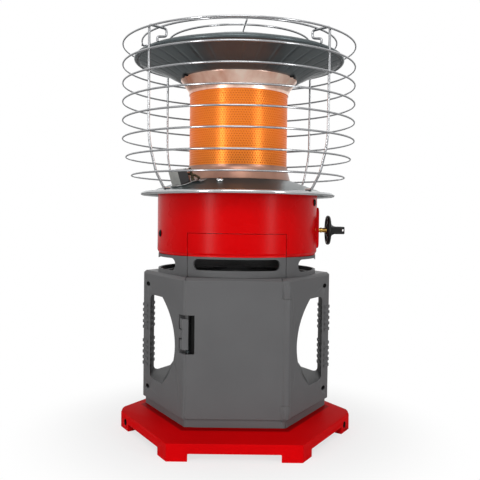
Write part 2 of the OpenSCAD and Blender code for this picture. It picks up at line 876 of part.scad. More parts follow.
module latch_pin() {
    color("silver") door_turn() translate([latch_pin_x, latch_pin_y, z_pocket - pocket_wall])
        cylinder(r = latch_pin_r, h = pocket_h + 2 * pocket_wall);
}

module latch_spring() {
    color("silver") door_turn() translate([latch_pin_x, latch_pin_y, z_pocket + 0.1])
        coil(latch_pin_r + 0.55, 0.3, latch_end_gap - 1.2, 3);
}

// ---- vent collar and drum ----

module vent_collar() {
    color([0.37, 0.37, 0.37]) difference() {
        translate([0, 0, z_top]) tube(collar_r, collar_r - collar_wall, collar_h);
        for (a = [-90, 90])
            ring_slot(a, slot_half, collar_r, z_slot, slot_h);
        wide_box(door_half + seam, -big / 2, 0, z_top - 1, z_collar + 1);
    }
}

// Solid outline of the drum with its chamfered foot
module drum_shell() {
    turned([[0, z_collar], [drum_r - 3, z_collar], [drum_r, z_collar + drum_chamfer],
        [drum_r, z_drum_top], [0, z_drum_top]]);
}

module drum_screw_places() {
    left = [-68, z_collar + drum_screw_low];
    right = [68, z_collar + drum_screw_high];
    for (p = [left, right])
        around(p[0]) translate([drum_r, 0, p[1]]) rotate([0, 90, 0]) children();
}

module control_drum() {
    color([0.80, 0.02, 0.04]) difference() {
        drum_shell();
        translate([0, 0, z_collar + drum_wall]) cylinder(r = drum_r - drum_wall, h = drum_h + 20);
        translate([0, 0, z_collar - 1]) cylinder(r = drum_r - drum_flange - 1, h = 10);
        wide_box(door_half + seam, -big / 2, -20, z_collar - 1, z_door_red + seam);
        translate([drum_r - 20, 0, z_valve]) rod_x(stem_r + 1.4, 40);
        drum_screw_places() translate([0, 0, -10]) cylinder(r = 2, h = 20);
    }
}

module drum_screws() {
    color([0.05, 0.05, 0.05]) drum_screw_places() {
        intersection() {
            translate([0, 0, -drum_head_r * 0.9]) sphere(r = drum_head_r * 1.35);
            translate([0, 0, 0.12]) cylinder(r = drum_head_r, h = 4);
        }
        translate([0, 0, -6]) cylinder(r = 1.9, h = 7);
    }
}

module control_bezel() {
    color([0.62, 0.02, 0.03]) difference() {
        translate([drum_r - 8, 0, bezel_z]) rotate([90, 0, 90])
            linear_extrude(height = bezel_x - drum_r + 8)
                translate([-bezel_w / 2, -bezel_h / 2]) round_rect(bezel_w, bezel_h, 8);
        translate([0, 0, z_collar - 5]) cylinder(r = drum_r + tight, h = drum_h + 30, $fn = 360);
        translate([drum_r - 20, 0, z_valve]) rod_x(stem_r + 0.6, 40);
    }
}

// ---- regulator, valve and knob ----

module strap_frame() {
    rotate([0, 0, -strap_turn]) children();
}

module deck_screw_places() {
    for (a = [-strap_turn, 180 - strap_turn])
        on_deck(a, deck_screw_r) children();
}

module regulator_strap() {
    tab_gap = 0.7;
    tab_t = 1.6;
    leg_top = deck_z(deck_screw_r) - (deck_t + tab_gap + tab_t) / cos(deck_slope) + 0.5;
    color("silver") difference() {
        union() {
            strap_frame() {
                translate([-strap_w / 2, -deck_screw_r, z_shoulder])
                    cube([strap_w, 2 * deck_screw_r, strap_t]);
                for (s = [0, 180])
                    rotate([0, 0, s]) translate([-strap_w / 2, deck_screw_r, z_shoulder])
                        cube([strap_w, strap_t, leg_top - z_shoulder]);
            }
            deck_screw_places() translate([-9, 2 - strap_w / 2, -deck_t - tab_gap - tab_t])
                cube([9 + strap_t - 0.5, strap_w - 4, tab_t]);
        }
        translate([0, 0, z_shoulder - 1]) cylinder(r = neck_r + 0.3, h = strap_t + 2);
        deck_screw_places() translate([-4, 0, -8]) cylinder(r = 2.05, h = 16);
    }
}

module regulator_body() {
    color([0.72, 0.72, 0.70]) difference() {
        union() {
            translate([0, 0, z_inlet]) cylinder(r = socket_r, h = 15);
            translate([0, 0, z_reg]) cylinder(r = reg_r, h = z_shoulder - z_reg);
            translate([0, 0, z_shoulder - 1]) cylinder(r = neck_r, h = 13);
            translate([0, 0, z_valve]) rod_x(arm_r, arm_x);
            translate([cap_x + 1, 0, z_valve]) rod_x(diaphragm_r, 6);
            translate([cap_x + 1, 0, z_valve]) rod_x(12, reg_r);
        }
        translate([0, 0, z_inlet - 1]) cylinder(r = inlet_r, h = inlet_h + 1);
        translate([0, 0, z_inlet + 1]) cylinder(r = seal_r, h = inlet_h - 1 + seal_t);
        translate([0, 0, z_inlet]) cylinder(r = 2, h = 30);
        translate([0, 0, z_valve]) cylinder(r = 2, h = 40);
        translate([rotor_x, 0, z_valve]) rod_x(rotor_r + run_gap, arm_x);
        translate([rotor_x - push_travel - 3, 0, z_valve]) rod_x(stem_r + run_gap, 20);
        translate([cap_x, 0, z_valve]) rod_x(9, 5);
        cap_screw_places(cap_x) rod_x(cap_screw_r + tight, 6);
    }
}

module cap_screw_places(x) {
    for (i = [0:5])
        translate([x, cap_screw_circle * cos(60 * i + 30), z_valve + cap_screw_circle * sin(60 * i + 30)])
            children();
}

module regulator_diaphragm() {
    color([0.1, 0.1, 0.1]) difference() {
        translate([cap_x, 0, z_valve]) rod_x(diaphragm_r, 1);
        cap_screw_places(cap_x - 1) rod_x(cap_screw_r + tight, 3);
    }
}

module regulator_cap() {
    color([0.75, 0.75, 0.73]) difference() {
        union() {
            translate([cap_x - cap_t, 0, z_valve]) rod_x(diaphragm_r, cap_t);
            translate([cap_x - dome_h - cap_t, 0, z_valve]) rod_x(dome_r, dome_h + 1);
        }
        translate([cap_x - dome_h, 0, z_valve]) rod_x(dome_r - 2.5, dome_h + 1);
        cap_screw_places(cap_x - cap_t - 1) rod_x(cap_screw_r + tight, cap_t + 2);
        translate([cap_x - dome_h - cap_t - 1, 0, z_valve]) rod_x(1, 5);
    }
}

module regulator_screws() {
    color("silver") cap_screw_places(cap_x - cap_t) {
        translate([-1.6, 0, 0]) rod_x(2.2, 1.6);
        translate([-0.5, 0, 0]) rod_x(cap_screw_r, cap_t + 5);
    }
}

module regulator_spring() {
    color("silver") translate([cap_x - dome_h + 0.1, 0, z_valve]) rotate([0, 90, 0])
        coil(6, 0.7, dome_h - 0.2, 4);
}

module hex_nut(width, t, hole_r) {
    difference() {
        cylinder(r = width / 2 / cos(30), h = t, $fn = 6);
        translate([0, 0, -1]) cylinder(r = hole_r, h = t + 2);
    }
}

module regulator_nut() {
    color("goldenrod") translate([0, 0, z_shoulder + strap_t]) hex_nut(24, nut_t, neck_r + tight);
}

module inlet_seal() {
    color([0.1, 0.1, 0.1]) translate([0, 0, z_inlet + inlet_h + 0.1]) tube(seal_r - 0.1, 5, seal_t - 0.1);
}

module valve_rotor() {
    color("goldenrod") translate([rotor_x, 0, z_valve]) difference() {
        rod_x(rotor_r, arm_x - rotor_x - loose);
        translate([-1, 0, 0]) rod_x(stem_r + run_gap, arm_x);
    }
}

module valve_nut() {
    color("goldenrod") translate([arm_x, 0, z_valve]) rotate([0, 90, 0])
        hex_nut(20, valve_nut_t, stem_r + run_gap);
}

module valve_stem() {
    color("goldenrod") {
        translate([stem_in, 0, z_valve]) rod_x(stem_r, stem_out - stem_in);
        translate([collar_x, 0, z_valve]) rod_x(stem_collar_r, stem_collar_t);
    }
}

module valve_spring() {
    start = arm_x + valve_nut_t;
    color("silver") translate([start + 0.1, 0, z_valve]) rotate([0, 90, 0])
        coil(stem_r + 1.1, 0.6, collar_x - start - 0.2, 5);
}

module control_knob() {
    edge = 3;
    color([0.08, 0.08, 0.08]) translate([knob_x, 0, z_valve]) rotate([0, 90, 0]) difference() {
        union() {
            turned([[0, 0], [knob_r - 1.5, 0], [knob_r, 1.5], [knob_r, knob_disc_h - edge - 1],
                [knob_r - 1.2, knob_disc_h - edge + 1.5], [knob_r - edge, knob_disc_h - 1.2],
                [grip_t / 2 + 4.5, knob_disc_h + 1.5], [grip_t / 2, knob_disc_h + 4], [0, knob_disc_h + 4]]);
            translate([-grip_t / 2, -grip_l / 2, knob_disc_h - edge])
                cube([grip_t, grip_l, grip_out + edge]);
        }
        translate([0, 0, -1]) cylinder(r = stem_r + 0.02, h = stem_out - knob_x + 1.5);
        translate([0, 0, -1]) difference() {
            cylinder(r = knob_r - 3, h = knob_back_t);
            cylinder(r = 7, h = knob_back_t);
        }
    }
}

// ---- burner ----

module gas_nozzle() {
    z = z_shoulder + 12;
    color("goldenrod") difference() {
        union() {
            translate([0, 0, z]) cylinder(r = 5.2, h = 4, $fn = 6);
            translate([0, 0, z + 3]) cylinder(r = 3, h = 9);
        }
        translate([0, 0, z - 1]) cylinder(r = 0.6, h = 20);
    }
}

module venturi_tube() {
    bell = venturi_r + 5;
    t = 1;
    z = z_cup - 20;
    color([0.7, 0.7, 0.7]) difference() {
        turned([[bell, z], [bell + t, z], [venturi_r + t, z + 7], [venturi_r + t, z_cup + 5],
            [venturi_r, z_cup + 5], [venturi_r, z + 6]]);
        for (a = [45:90:315])
            around(a) translate([0, 0, z + 11]) rod_x(2.5, 30);
    }
}

module burner_deck() {
    bead_c = deck_r - deck_bead_r;
    skin = deck_t / cos(deck_slope);
    color([0.70, 0.70, 0.70]) difference() {
        rotate_extrude() {
            polygon([[cup_r + 0.3, z_deck], [deck_top_r, z_deck], [deck_cone_r, z_rim + 3],
                [bead_c, z_rim + 3], [bead_c, z_rim + 3 - skin], [deck_cone_r, z_rim + 3 - skin],
                [deck_top_r, z_deck - skin], [cup_r + 0.3, z_deck - skin]]);
            translate([bead_c, z_rim + deck_bead_r]) circle(r = deck_bead_r);
        }
        deck_screw_places() translate([-4, 0, -8]) cylinder(r = 2.05, h = 16);
    }
}

module deck_screws() {
    head_r = 4.4;
    color("silver") deck_screw_places() translate([-4, 0, 0]) {
        translate([0, 0, 0.15]) cylinder(r = head_r, h = 1.2);
        intersection() {
            translate([0, 0, 0.6]) sphere(r = head_r - 0.2);
            translate([0, 0, 1]) cylinder(r = head_r, h = 6);
        }
        translate([0, 0, -6]) cylinder(r = 1.95, h = 6.5);
    }
}

module burner_cup() {
    color([0.55, 0.55, 0.55]) difference() {
        turned([[0, z_cup], [cup_r, z_cup], [cup_r, z_deck + tight], [cup_flange_r, z_deck + tight],
            [cup_flange_r, z_deck + 1.2], [cup_r - 1.2, z_deck + 1.2], [cup_r - 1.2, z_cup + cup_floor_t],
            [0, z_cup + cup_floor_t]]);
        translate([0, 0, z_cup - 1]) cylinder(r = venturi_r + 1 + tight, h = 5);
    }
}

module burner_skirt() {
    t = 1;
    top = screen_r + t + tight;
    color([0.66, 0.56, 0.50]) turned([[skirt_ring_r - t, z_deck + tight], [skirt_ring_r, z_deck + tight],
        [top, z_screen - 1], [top, z_screen + 3.5], [top - t, z_screen + 3.5], [top - t, z_screen],
        [inner_r + 0.9, z_screen], [inner_r + 0.9, z_screen - 1], [top - t - 0.2, z_screen - 1]]);
}

module burner_screen() {
    color([0.95, 0.50, 0.15]) translate([0, 0, z_screen + tight])
        tube(screen_r, screen_r - screen_t, screen_h - tight);
}

module inner_screen() {
    bottom = z_deck + 1.2 + tight;
    color([0.9, 0.4, 0.1]) translate([0, 0, bottom])
        tube(inner_r, inner_r - screen_t, z_baffle - bottom);
}

module rod_places() {
    for (a = [60, 180, 300])
        around(a) translate([rod_pcd_r, 0, 0]) children();
}

module burner_baffle() {
    color([0.5, 0.45, 0.4]) difference() {
        translate([0, 0, z_baffle + tight]) cylinder(r = inner_r + 0.3, h = baffle_t);
        rod_places() translate([0, 0, z_baffle - 1]) cylinder(r = rod_r + tight, h = 5);
    }
}

module flare_ring() {
    t = 1;
    foot = screen_r + tight;
    color([0.80, 0.72, 0.66]) turned([[foot, z_flare - 3], [foot + t, z_flare - 3],
        [foot + t, z_flare + t], [flare_r, z_reflector - 1], [flare_r, z_reflector - tight],
        [flare_r - 1.6, z_reflector - tight], [foot, z_flare + t + 0.8], [inner_r + 1, z_flare + t],
        [inner_r + 1, z_flare + tight], [foot, z_flare + tight]]);
}

module tie_rods() {
    start = z_cup + cup_floor_t;
    color("silver") rod_places() translate([0, 0, start]) cylinder(r = rod_r, h = rod_top - start);
}

module tie_nuts() {
    color("silver") rod_places() translate([0, 0, z_reflector + reflector_t])
        hex_nut(7, 3, rod_r + tight);
}

module reflector() {
    t = reflector_t;
    knee_z = z_reflector + reflector_knee_h;
    z1 = z_reflector + reflector_rise;
    color([0.62, 0.62, 0.62]) difference() {
        rotate_extrude() {
            polygon([[0, z_reflector], [reflector_flat_r, z_reflector], [reflector_knee_r, knee_z],
                [rim_ring_r, z1 - 1.3], [rim_ring_r, z1 - 1.3 + t], [reflector_knee_r - 0.4, knee_z + t],
                [reflector_flat_r - 0.4, z_reflector + t], [0, z_reflector + t]]);
            translate([rim_ring_r, z1]) circle(r = reflector_bead);
        }
        rod_places() translate([0, 0, z_reflector - 1]) cylinder(r = rod_r + tight, h = 5);
    }
}

module reflector_cover() {
    t = reflector_t;
    color([0.66, 0.66, 0.66]) turned([[0, z_cover + cover_dome], [cover_top_r / 2, z_cover + cover_dome * 0.7],
        [cover_top_r, z_cover], [cover_edge_r, z_rim_top + tight],
        [cover_edge_r, z_rim_top + tight + t], [cover_top_r, z_cover + t],
        [cover_top_r / 2, z_cover + cover_dome * 0.7 + t], [0, z_cover + cover_dome + t]]);
}

// ---- pilot and ignition ----

module pilot_place() {
    on_deck(pilot_turn, pilot_r) children();
}

module pilot_bracket() {
    color([0.72, 0.72, 0.72]) pilot_place() translate([0, 0, loose]) {
        difference() {
            union() {
                intersection() {
                    cylinder(r = plate_r, h = plate_t);
                    translate([-plate_r, -plate_r * 0.8, 0]) cube([2 * plate_r, 1.6 * plate_r, plate_t]);
                }
                translate([-13, 6, 0]) cube([9, 20, 1]);
            }
            translate([-9, 20, -1]) cylinder(r = 2, h = 4);
        }
    }
}

module pilot_shield() {
    w = 18;
    d = 14;
    h = 16;
    t = 0.9;
    color([0.68, 0.68, 0.66]) pilot_place() translate([-3, -w / 2 - 2, loose + plate_t]) difference() {
        cube([d, w, h]);
        translate([-1, t, -1]) cube([d - t + 1, w - 2 * t, h - t + 1]);
    }
}

module pilot_burner() {
    color([0.60, 0.55, 0.45]) pilot_place() translate([-9, -3, loose + plate_t]) difference() {
        union() {
            cylinder(r = 3, h = 9);
            translate([1, 0, 7]) rotate([0, -90, 0]) cylinder(r = 2.6, h = 9);
        }
        translate([-20, 0, 7]) rod_x(1.6, 19);
    }
}

module thermocouple() {
    color([0.75, 0.6, 0.4]) pilot_place() translate([-9, 6, loose + plate_t]) {
        cylinder(r = 2.2, h = 4);
        translate([0, 0, 3]) cylinder(r = 1.5, h = 12);
    }
}

module igniter_insulator() {
    color([0.93, 0.92, 0.88]) pilot_place() translate([-9, -10, loose + plate_t]) cylinder(r = 2.2, h = 8);
}

module igniter_electrode() {
    z = loose + plate_t + 8;
    color([0.5, 0.5, 0.5]) pilot_place() translate([-9, -10, z]) {
        cylinder(r = 0.8, h = 5);
        translate([0, 0, 4]) rotate([0, 0, 150]) rod_x(0.7, 9);
    }
}

// Point p of the strap's frame in the part's own frame
function strap_point(p) = [p[0] * cos(strap_turn) + p[1] * sin(strap_turn),
    p[1] * cos(strap_turn) - p[0] * sin(strap_turn), p[2]];

// Point under the deck at the pilot, in the part's own frame
function under_pilot(dr, dt) =
    let (r = pilot_r + dr, a = pilot_turn - 90)
    [r * cos(a) - dt * sin(a), r * sin(a) + dt * cos(a), deck_under(norm([r, dt])) - loose];

module pilot_tube() {
    start = under_pilot(-14, -3);
    end = [-pipe_x, -sqrt(reg_r * reg_r - pipe_x * pipe_x) - 0.7, z_valve + 4];
    color([0.72, 0.70, 0.66]) wire([start - [0, 0, 0.66], [start[0], start[1], z_valve + 4],
        end - [9, 12, 0], end], 1.8);
}

module igniter_lead() {
    start = under_pilot(-14, -12);
    color([0.75, 0.1, 0.1]) wire([start - [0, 0, 0.44], start - [0, 0, lead_drop],
        [-lead_out, lead_back, z_shoulder + 14],
        strap_point([piezo_x - 20, piezo_y, z_piezo + 10]), strap_point([piezo_x - 12, piezo_y, z_piezo]),
        strap_point([piezo_x - 0.1, piezo_y, z_piezo])], 1.2);
}

module piezo_igniter() {
    color([0.9, 0.88, 0.8]) strap_frame() translate([piezo_x, piezo_y, z_piezo]) {
        rod_x(6, 30);
        translate([29, 0, 0]) rod_x(3.5, 6);
    }
}

module tip_switch() {
    w = 16;
    h = 19;
    color([0.12, 0.12, 0.12]) strap_frame()
        translate([-w / 2, -deck_screw_r / 2 - w / 2, z_shoulder + strap_t]) difference() {
            cube([w, w, h]);
            translate([w / 2, w / 2, 2]) cylinder(r = 5.5, h = h - 4);
        }
}

module tip_ball() {
    color("silver") strap_frame()
        translate([0, -deck_screw_r / 2, z_shoulder + strap_t + 2 + 4.5 + loose]) sphere(r = 4.5);
}

// ---- guard ----

module hoop(r, z) {
    translate([0, 0, z]) rotate_extrude($fn = 128) translate([r, 0]) circle(r = wire_r, $fn = 24);
}

module guard_hoops() {
    color([0.75, 0.75, 0.75])
        for (i = [0:hoops - 1])
            hoop(hoop_r(hoop_z(i)), hoop_z(i));
}

module guard_top_rings() {
    color([0.75, 0.75, 0.75]) {
        hoop(top_ring_r, top_ring_z);
        hoop(inner_ring_r, inner_ring_z);
    }
}

module guard_uprights() {
    low = foot_wire_z;
    color([0.75, 0.75, 0.75])
        for (i = [0:upright_count - 1])
            around(360 / upright_count * (i + 0.5))
                wire([[deck_r - deck_bead_r - 9, 0, low], [deck_r - deck_bead_r - 0.5, 0, low],
                    [post_r_at(hoop_z(7)), 0, hoop_z(7)], [post_mid_r, 0, guard_bend],
                    [post_mid_r, 0, top_wire_z], [hook_r, 0, top_wire_z],
                    [hook_r, 0, z_rim_top + 8], [rest_r, 0, z_rim_top + 5],
                    [rest_r, 0, z_rim_top + 0.1]], upright_r);
}

module guard_radials() {
    color([0.75, 0.75, 0.75])
        for (i = [0:radial_count - 1])
            around(radial_turn + 360 / radial_count * i)
                wire([[top_ring_r + 1, 0, radial_out_z], [radial_in_r, 0, radial_in_z]], wire_r);
}

base();
base_screws();
housing_front();
housing_rear();
housing_screws();
vent_collar();
control_drum();
drum_screws();
control_bezel();
door_panel();
door_collar();
door_red_panel();
door_hinge_pin();
door_latch();
latch_pin();
latch_spring();
regulator_strap();
regulator_body();
regulator_diaphragm();
regulator_spring();
regulator_cap();
regulator_screws();
regulator_nut();
inlet_seal();
valve_rotor();
valve_stem();
valve_nut();
valve_spring();
control_knob();
gas_nozzle();
venturi_tube();
burner_deck();
deck_screws();
burner_cup();
burner_skirt();
burner_screen();
inner_screen();
burner_baffle();
flare_ring();
tie_rods();
tie_nuts();
reflector();
reflector_cover();
pilot_bracket();
pilot_shield();
pilot_burner();
pilot_tube();
thermocouple();
igniter_insulator();
igniter_electrode();
igniter_lead();
piezo_igniter();
tip_switch();
tip_ball();
guard_hoops();
guard_top_rings();
guard_uprights();
guard_radials();
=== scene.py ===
import math

import bmesh
import bpy
from mathutils import Matrix, Vector


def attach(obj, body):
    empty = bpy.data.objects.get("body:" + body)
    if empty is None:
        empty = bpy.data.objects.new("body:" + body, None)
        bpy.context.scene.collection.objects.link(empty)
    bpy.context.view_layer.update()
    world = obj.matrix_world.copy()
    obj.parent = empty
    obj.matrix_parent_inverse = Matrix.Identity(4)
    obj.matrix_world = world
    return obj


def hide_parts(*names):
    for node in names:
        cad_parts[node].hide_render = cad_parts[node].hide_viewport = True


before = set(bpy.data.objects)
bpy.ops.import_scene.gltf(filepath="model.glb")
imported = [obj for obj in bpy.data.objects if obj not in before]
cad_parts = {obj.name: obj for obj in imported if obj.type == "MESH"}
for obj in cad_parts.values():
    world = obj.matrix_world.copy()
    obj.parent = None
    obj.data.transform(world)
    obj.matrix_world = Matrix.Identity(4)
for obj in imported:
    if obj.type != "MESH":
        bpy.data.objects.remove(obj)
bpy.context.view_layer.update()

MM = 0.001
TAU = 2 * math.pi
MERGE_M = 1e-7        # points nearer than this are one point
CAD_MERGE_M = 2e-6    # the same for the meshes of the CAD nodes
EASE_ANGLE = 32       # degrees between two faces from which their edge is eased
SHARP_ANGLE = 30      # degrees from which the shading of an eased piece still breaks
WEAR_AND_HIGHLIGHT_M = 0.9 * MM     # how far the paler edges, for wear and a painted edge highlight, reach from an edge
WHITE = (1, 1, 1, 1)


# ---------------------------------------------------------------- materials: helpers

def lin(c):
    """sRGB 0-255 to linear RGBA."""
    out = []
    for v in c:
        v = v / 255.0
        out.append(v / 12.92 if v <= 0.04045 else ((v + 0.055) / 1.055) ** 2.4)
    return (*out, 1.0)


def times(color, factor):
    """A linear colour made lighter or darker."""
    return tuple(min(1, x * factor) for x in color[:3]) + (1,)


class Tree:
    """Shorthand for a node tree. An input is given by name or place, as a value or as the socket that feeds it."""

    def __init__(self, tree, clear=True):
        self.nodes, self.links = tree.nodes, tree.links
        if clear:
            self.nodes.clear()

    def add(self, kind, inputs=None, **settings):
        node = self.nodes.new("ShaderNode" + kind)
        for key, value in settings.items():
            setattr(node, key, value)
        for key, value in (inputs or {}).items():
            if isinstance(value, bpy.types.NodeSocket):
                self.links.new(value, node.inputs[key])
            else:
                node.inputs[key].default_value = value
        return node

    def position(self):
        return self.add("TexCoord").outputs["Object"]

    def noise(self, place, scale, detail):
        return self.add("TexNoise", {"Vector": place, "Scale": scale, "Detail": detail}).outputs["Fac"]

    def ramp(self, value, low, high):
        """Colour from low to high over the middle of a noise's range."""
        node = self.add("ValToRGB", {0: value})
        for stop, at, color in zip(node.color_ramp.elements, (0.3, 0.7), (low, high)):
            stop.position = at
            stop.color = color
        return node.outputs[0]

    def span(self, value, low, high, first, last, smooth=False):
        """Maps low..high to first..last."""
        ends = {"Value": value, "From Min": low, "From Max": high, "To Min": first, "To Max": last}
        node = self.add("MapRange", ends, interpolation_type="SMOOTHSTEP" if smooth else "LINEAR")
        return node.outputs[0]

    def calc(self, op, *values):
        return self.add("Math", dict(enumerate(values)), operation=op).outputs[0]

    def blend(self, factor, a, b):
        return self.add("Mix", {"Factor": factor, "A": a, "B": b}, data_type="RGBA").outputs["Result"]


def shader_of(m):
    return next(x for x in m.node_tree.nodes if x.type == "BSDF_PRINCIPLED")


def material(name, color, rough=0.5, metal=0.0, spec=0.5, dark=None, var=0.06, var_scale=40.0, rough_var=0.06,
             bump=0.1, bump_scale=900.0, bump_mm=0.05, stretch=(1, 1, 1), wear_and_highlight=0.3):
    """Procedural surface in object space: colour and roughness drift, a fine bump and paler edges, which stand for wear
    and a painted edge highlight.
    """
    m = bpy.data.materials.new(name)
    m.use_nodes = True
    tree = Tree(m.node_tree)
    place = tree.add("Mapping", {"Vector": tree.position(), "Scale": stretch}).outputs[0]
    drift = tree.noise(place, var_scale, 4)
    c = lin(color)
    tint = tree.ramp(drift, lin(dark) if dark else times(c, 1 - var), times(c, 1 + var))
    eased = tree.add("Bevel", {"Radius": WEAR_AND_HIGHLIGHT_M}, samples=4).outputs[0]
    flat = tree.add("NewGeometry").outputs["Normal"]
    same = tree.add("VectorMath", {0: eased, 1: flat}, operation="DOT_PRODUCT").outputs["Value"]
    # edges go paler: partly wear, partly a painted edge highlight
    pale = tuple(min(1, x * 1.5 + 0.03) for x in c[:3]) + (1,)
    fine = tree.noise(place, bump_scale, 3)
    shader = tree.add("BsdfPrincipled", {
        "Base Color": tree.blend(tree.span(same, 0.995, 0.90, 0.0, wear_and_highlight), tint, pale),
        "Roughness": tree.span(drift, 0.0, 1.0, max(0.02, rough - rough_var), min(1.0, rough + rough_var)),
        "Normal": tree.add("Bump", {"Strength": bump, "Distance": bump_mm * MM, "Height": fine}).outputs[0],
        "Metallic": metal,
        "Specular IOR Level": spec})
    tree.add("OutputMaterial", {"Surface": shader.outputs[0]})
    return m


def glow_material(name, base, glow, strength, rough, metal):
    """Hot metal: it glows less towards the bottom, where the gas comes in."""
    m = material(name, base, rough=rough, metal=metal, spec=0.08, var=0.05, var_scale=30,
                 bump=0.15, bump_scale=900, bump_mm=0.02)
    tree, shader = Tree(m.node_tree, clear=False), shader_of(m)
    place = tree.position()
    color = tree.ramp(tree.noise(place, 22, 3), times(lin(glow), 0.88), lin(glow))
    height = tree.add("SeparateXYZ", {0: place}).outputs["Z"]
    power = tree.span(height, GLOW_FROM_M, GLOW_FULL_M, strength * 0.35, strength)
    tree.links.new(color, shader.inputs["Emission Color"])
    tree.links.new(power, shader.inputs["Emission Strength"])
    return m


def foot_shade(m):
    """Painted shade on the base: it darkens towards the foot of the housing."""
    tree, shader = Tree(m.node_tree, clear=False), shader_of(m)
    plain = shader.inputs["Base Color"].links[0].from_socket
    where = tree.add("SeparateXYZ", {0: tree.position()})
    x, y = (tree.calc("ABSOLUTE", where.outputs[key]) for key in ("X", "Y"))
    # square to the slanting sides of the hexagon
    side = tree.calc("ADD", tree.calc("MULTIPLY", x, 0.866), tree.calc("MULTIPLY", y, 0.5))
    unshaded = tree.span(tree.calc("MAXIMUM", side, y), SHADE_FROM_M, SHADE_TO_M, 0.4, 1.0, smooth=True)
    tree.links.new(tree.blend(unshaded, (0.004, 0.0, 0.0, 1), plain), shader.inputs["Base Color"])
    return m


# ---------------------------------------------------------------- meshes: helpers

def smoothed(me, angle):
    """Smooth shading that breaks at edges over an angle in degrees."""
    for p in me.polygons:
        p.use_smooth = True
    me.set_sharp_from_angle(angle=math.radians(angle))


def new_object(name, bm, mat, smooth=True, angle=35):
    me = bpy.data.meshes.new(name)
    bm.normal_update()
    bm.to_mesh(me)
    bm.free()
    ob = bpy.data.objects.new(name, me)
    bpy.context.scene.collection.objects.link(ob)
    if mat is not None:
        me.materials.append(mat)
    if smooth:
        smoothed(me, angle)
    return ob


def solid(name, bm, mat, merge=False, **shading):
    """Object from a closed mesh, its faces turned outwards. merge joins points that lie on each other."""
    if merge:
        bmesh.ops.remove_doubles(bm, verts=bm.verts, dist=MERGE_M)
    bmesh.ops.recalc_face_normals(bm, faces=bm.faces)
    return new_object(name, bm, mat, **shading)


def put(ob, body, node=None):
    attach(ob, body)
    if node:
        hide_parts(node)
    return ob


def turned(name, profile, mat, segs, close=True, frame_m=None, ripple=None, **shading):
    """Turns an outline [(r, z)] in mm round +Z. close joins its last point to the first."""
    bm = bmesh.new()
    rings = []
    for i in range(segs):
        a = TAU * i / segs
        ring = []
        for r, z in profile:
            dz = ripple(r, a) if ripple else 0.0
            v = Vector((r * math.cos(a), r * math.sin(a), z + dz)) * MM
            ring.append(bm.verts.new(frame_m @ v if frame_m is not None else v))
        rings.append(ring)
    n = len(profile)
    for i in range(segs):
        a, b = rings[i], rings[(i + 1) % segs]
        for k in range(n if close else n - 1):
            j = (k + 1) % n
            q = [a[k], b[k], b[j], a[j]]
            q = [v for t, v in enumerate(q) if (v.co - q[t - 1].co).length > 1e-9]
            if len(q) >= 3:
                bm.faces.new(q)
    return solid(name, bm, mat, merge=True, **shading)


def arc(cx, cz, r, a0, a1, n):
    """Points on an arc, degrees from +r towards +z."""
    return [(cx + r * math.cos(math.radians(a0 + (a1 - a0) * i / n)),
             cz + r * math.sin(math.radians(a0 + (a1 - a0) * i / n))) for i in range(n + 1)]


def rounded(points, radii, n=6):
    """Rounds the inner corners of an open path of 3-D points, in mm."""
    pts = [Vector(p) for p in points]
    out = [pts[0]]
    for a, b, c, r in zip(pts, pts[1:], pts[2:], radii):
        d1, d2 = (a - b), (c - b)
        t = min(r, d1.length * 0.48, d2.length * 0.48)
        p1, p2 = b + d1.normalized() * t, b + d2.normalized() * t
        for k in range(n + 1):
            s = k / n
            out.append((1 - s) ** 2 * p1 + 2 * s * (1 - s) * b + s * s * p2)
    out.append(pts[-1])
    return out


def tube_into(bm, pts, r, sides, closed=False):
    """Round wire of radius r along a path, in mm."""
    pts = [Vector(p) * MM for p in pts]
    n = len(pts)
    tang = []
    for i in range(n):
        if closed:
            t = pts[(i + 1) % n] - pts[i - 1]
        else:
            t = pts[min(i + 1, n - 1)] - pts[max(i - 1, 0)]
        tang.append(t.normalized())
    up = Vector((0, 0, 1)) if abs(tang[0].z) < 0.9 else Vector((1, 0, 0))
    nrm = (up - tang[0] * up.dot(tang[0])).normalized()
    rings = []
    for i in range(n):
        if i:
            axis = tang[i - 1].cross(tang[i])
            if axis.length > 1e-9:
                nrm = Matrix.Rotation(tang[i - 1].angle(tang[i]), 3, axis.normalized()) @ nrm
            nrm = (nrm - tang[i] * nrm.dot(tang[i])).normalized()
        bn = tang[i].cross(nrm)
        turns = [TAU * k / sides for k in range(sides)]
        rings.append([bm.verts.new(pts[i] + (nrm * math.cos(t) + bn * math.sin(t)) * r * MM) for t in turns])
    for i in range(n if closed else n - 1):
        a, b = rings[i], rings[(i + 1) % n]
        for k in range(sides):
            bm.faces.new([a[k], a[(k + 1) % sides], b[(k + 1) % sides], b[k]])
    if not closed:
        bm.faces.new(rings[0][::-1])
        bm.faces.new(rings[-1])


def circle_pts(r, z, n):
    return [(r * math.cos(TAU * i / n), r * math.sin(TAU * i / n), z) for i in range(n)]


def polar(az, r, z):
    """Azimuth in degrees from the front (-Y) towards the right (+X)."""
    a = math.radians(az - 90)
    return Vector((r * math.cos(a), r * math.sin(a), z))


def spin(degrees, axis):
    return Matrix.Rotation(math.radians(degrees), 4, axis)


def box_into(bm, lo, hi, m=None):
    cs = [Vector((x, y, z)) * MM for x in (lo[0], hi[0]) for y in (lo[1], hi[1]) for z in (lo[2], hi[2])]
    if m is not None:
        cs = [m @ c for c in cs]
    v = [bm.verts.new(c) for c in cs]
    for f in ((0, 1, 3, 2), (4, 6, 7, 5), (0, 4, 5, 1), (2, 3, 7, 6), (0, 2, 6, 4), (1, 5, 7, 3)):
        bm.faces.new([v[i] for i in f])


def box_cutter(lo, hi, m=None):
    bm = bmesh.new()
    box_into(bm, lo, hi, m)
    return solid("cutter", bm, None, smooth=False)


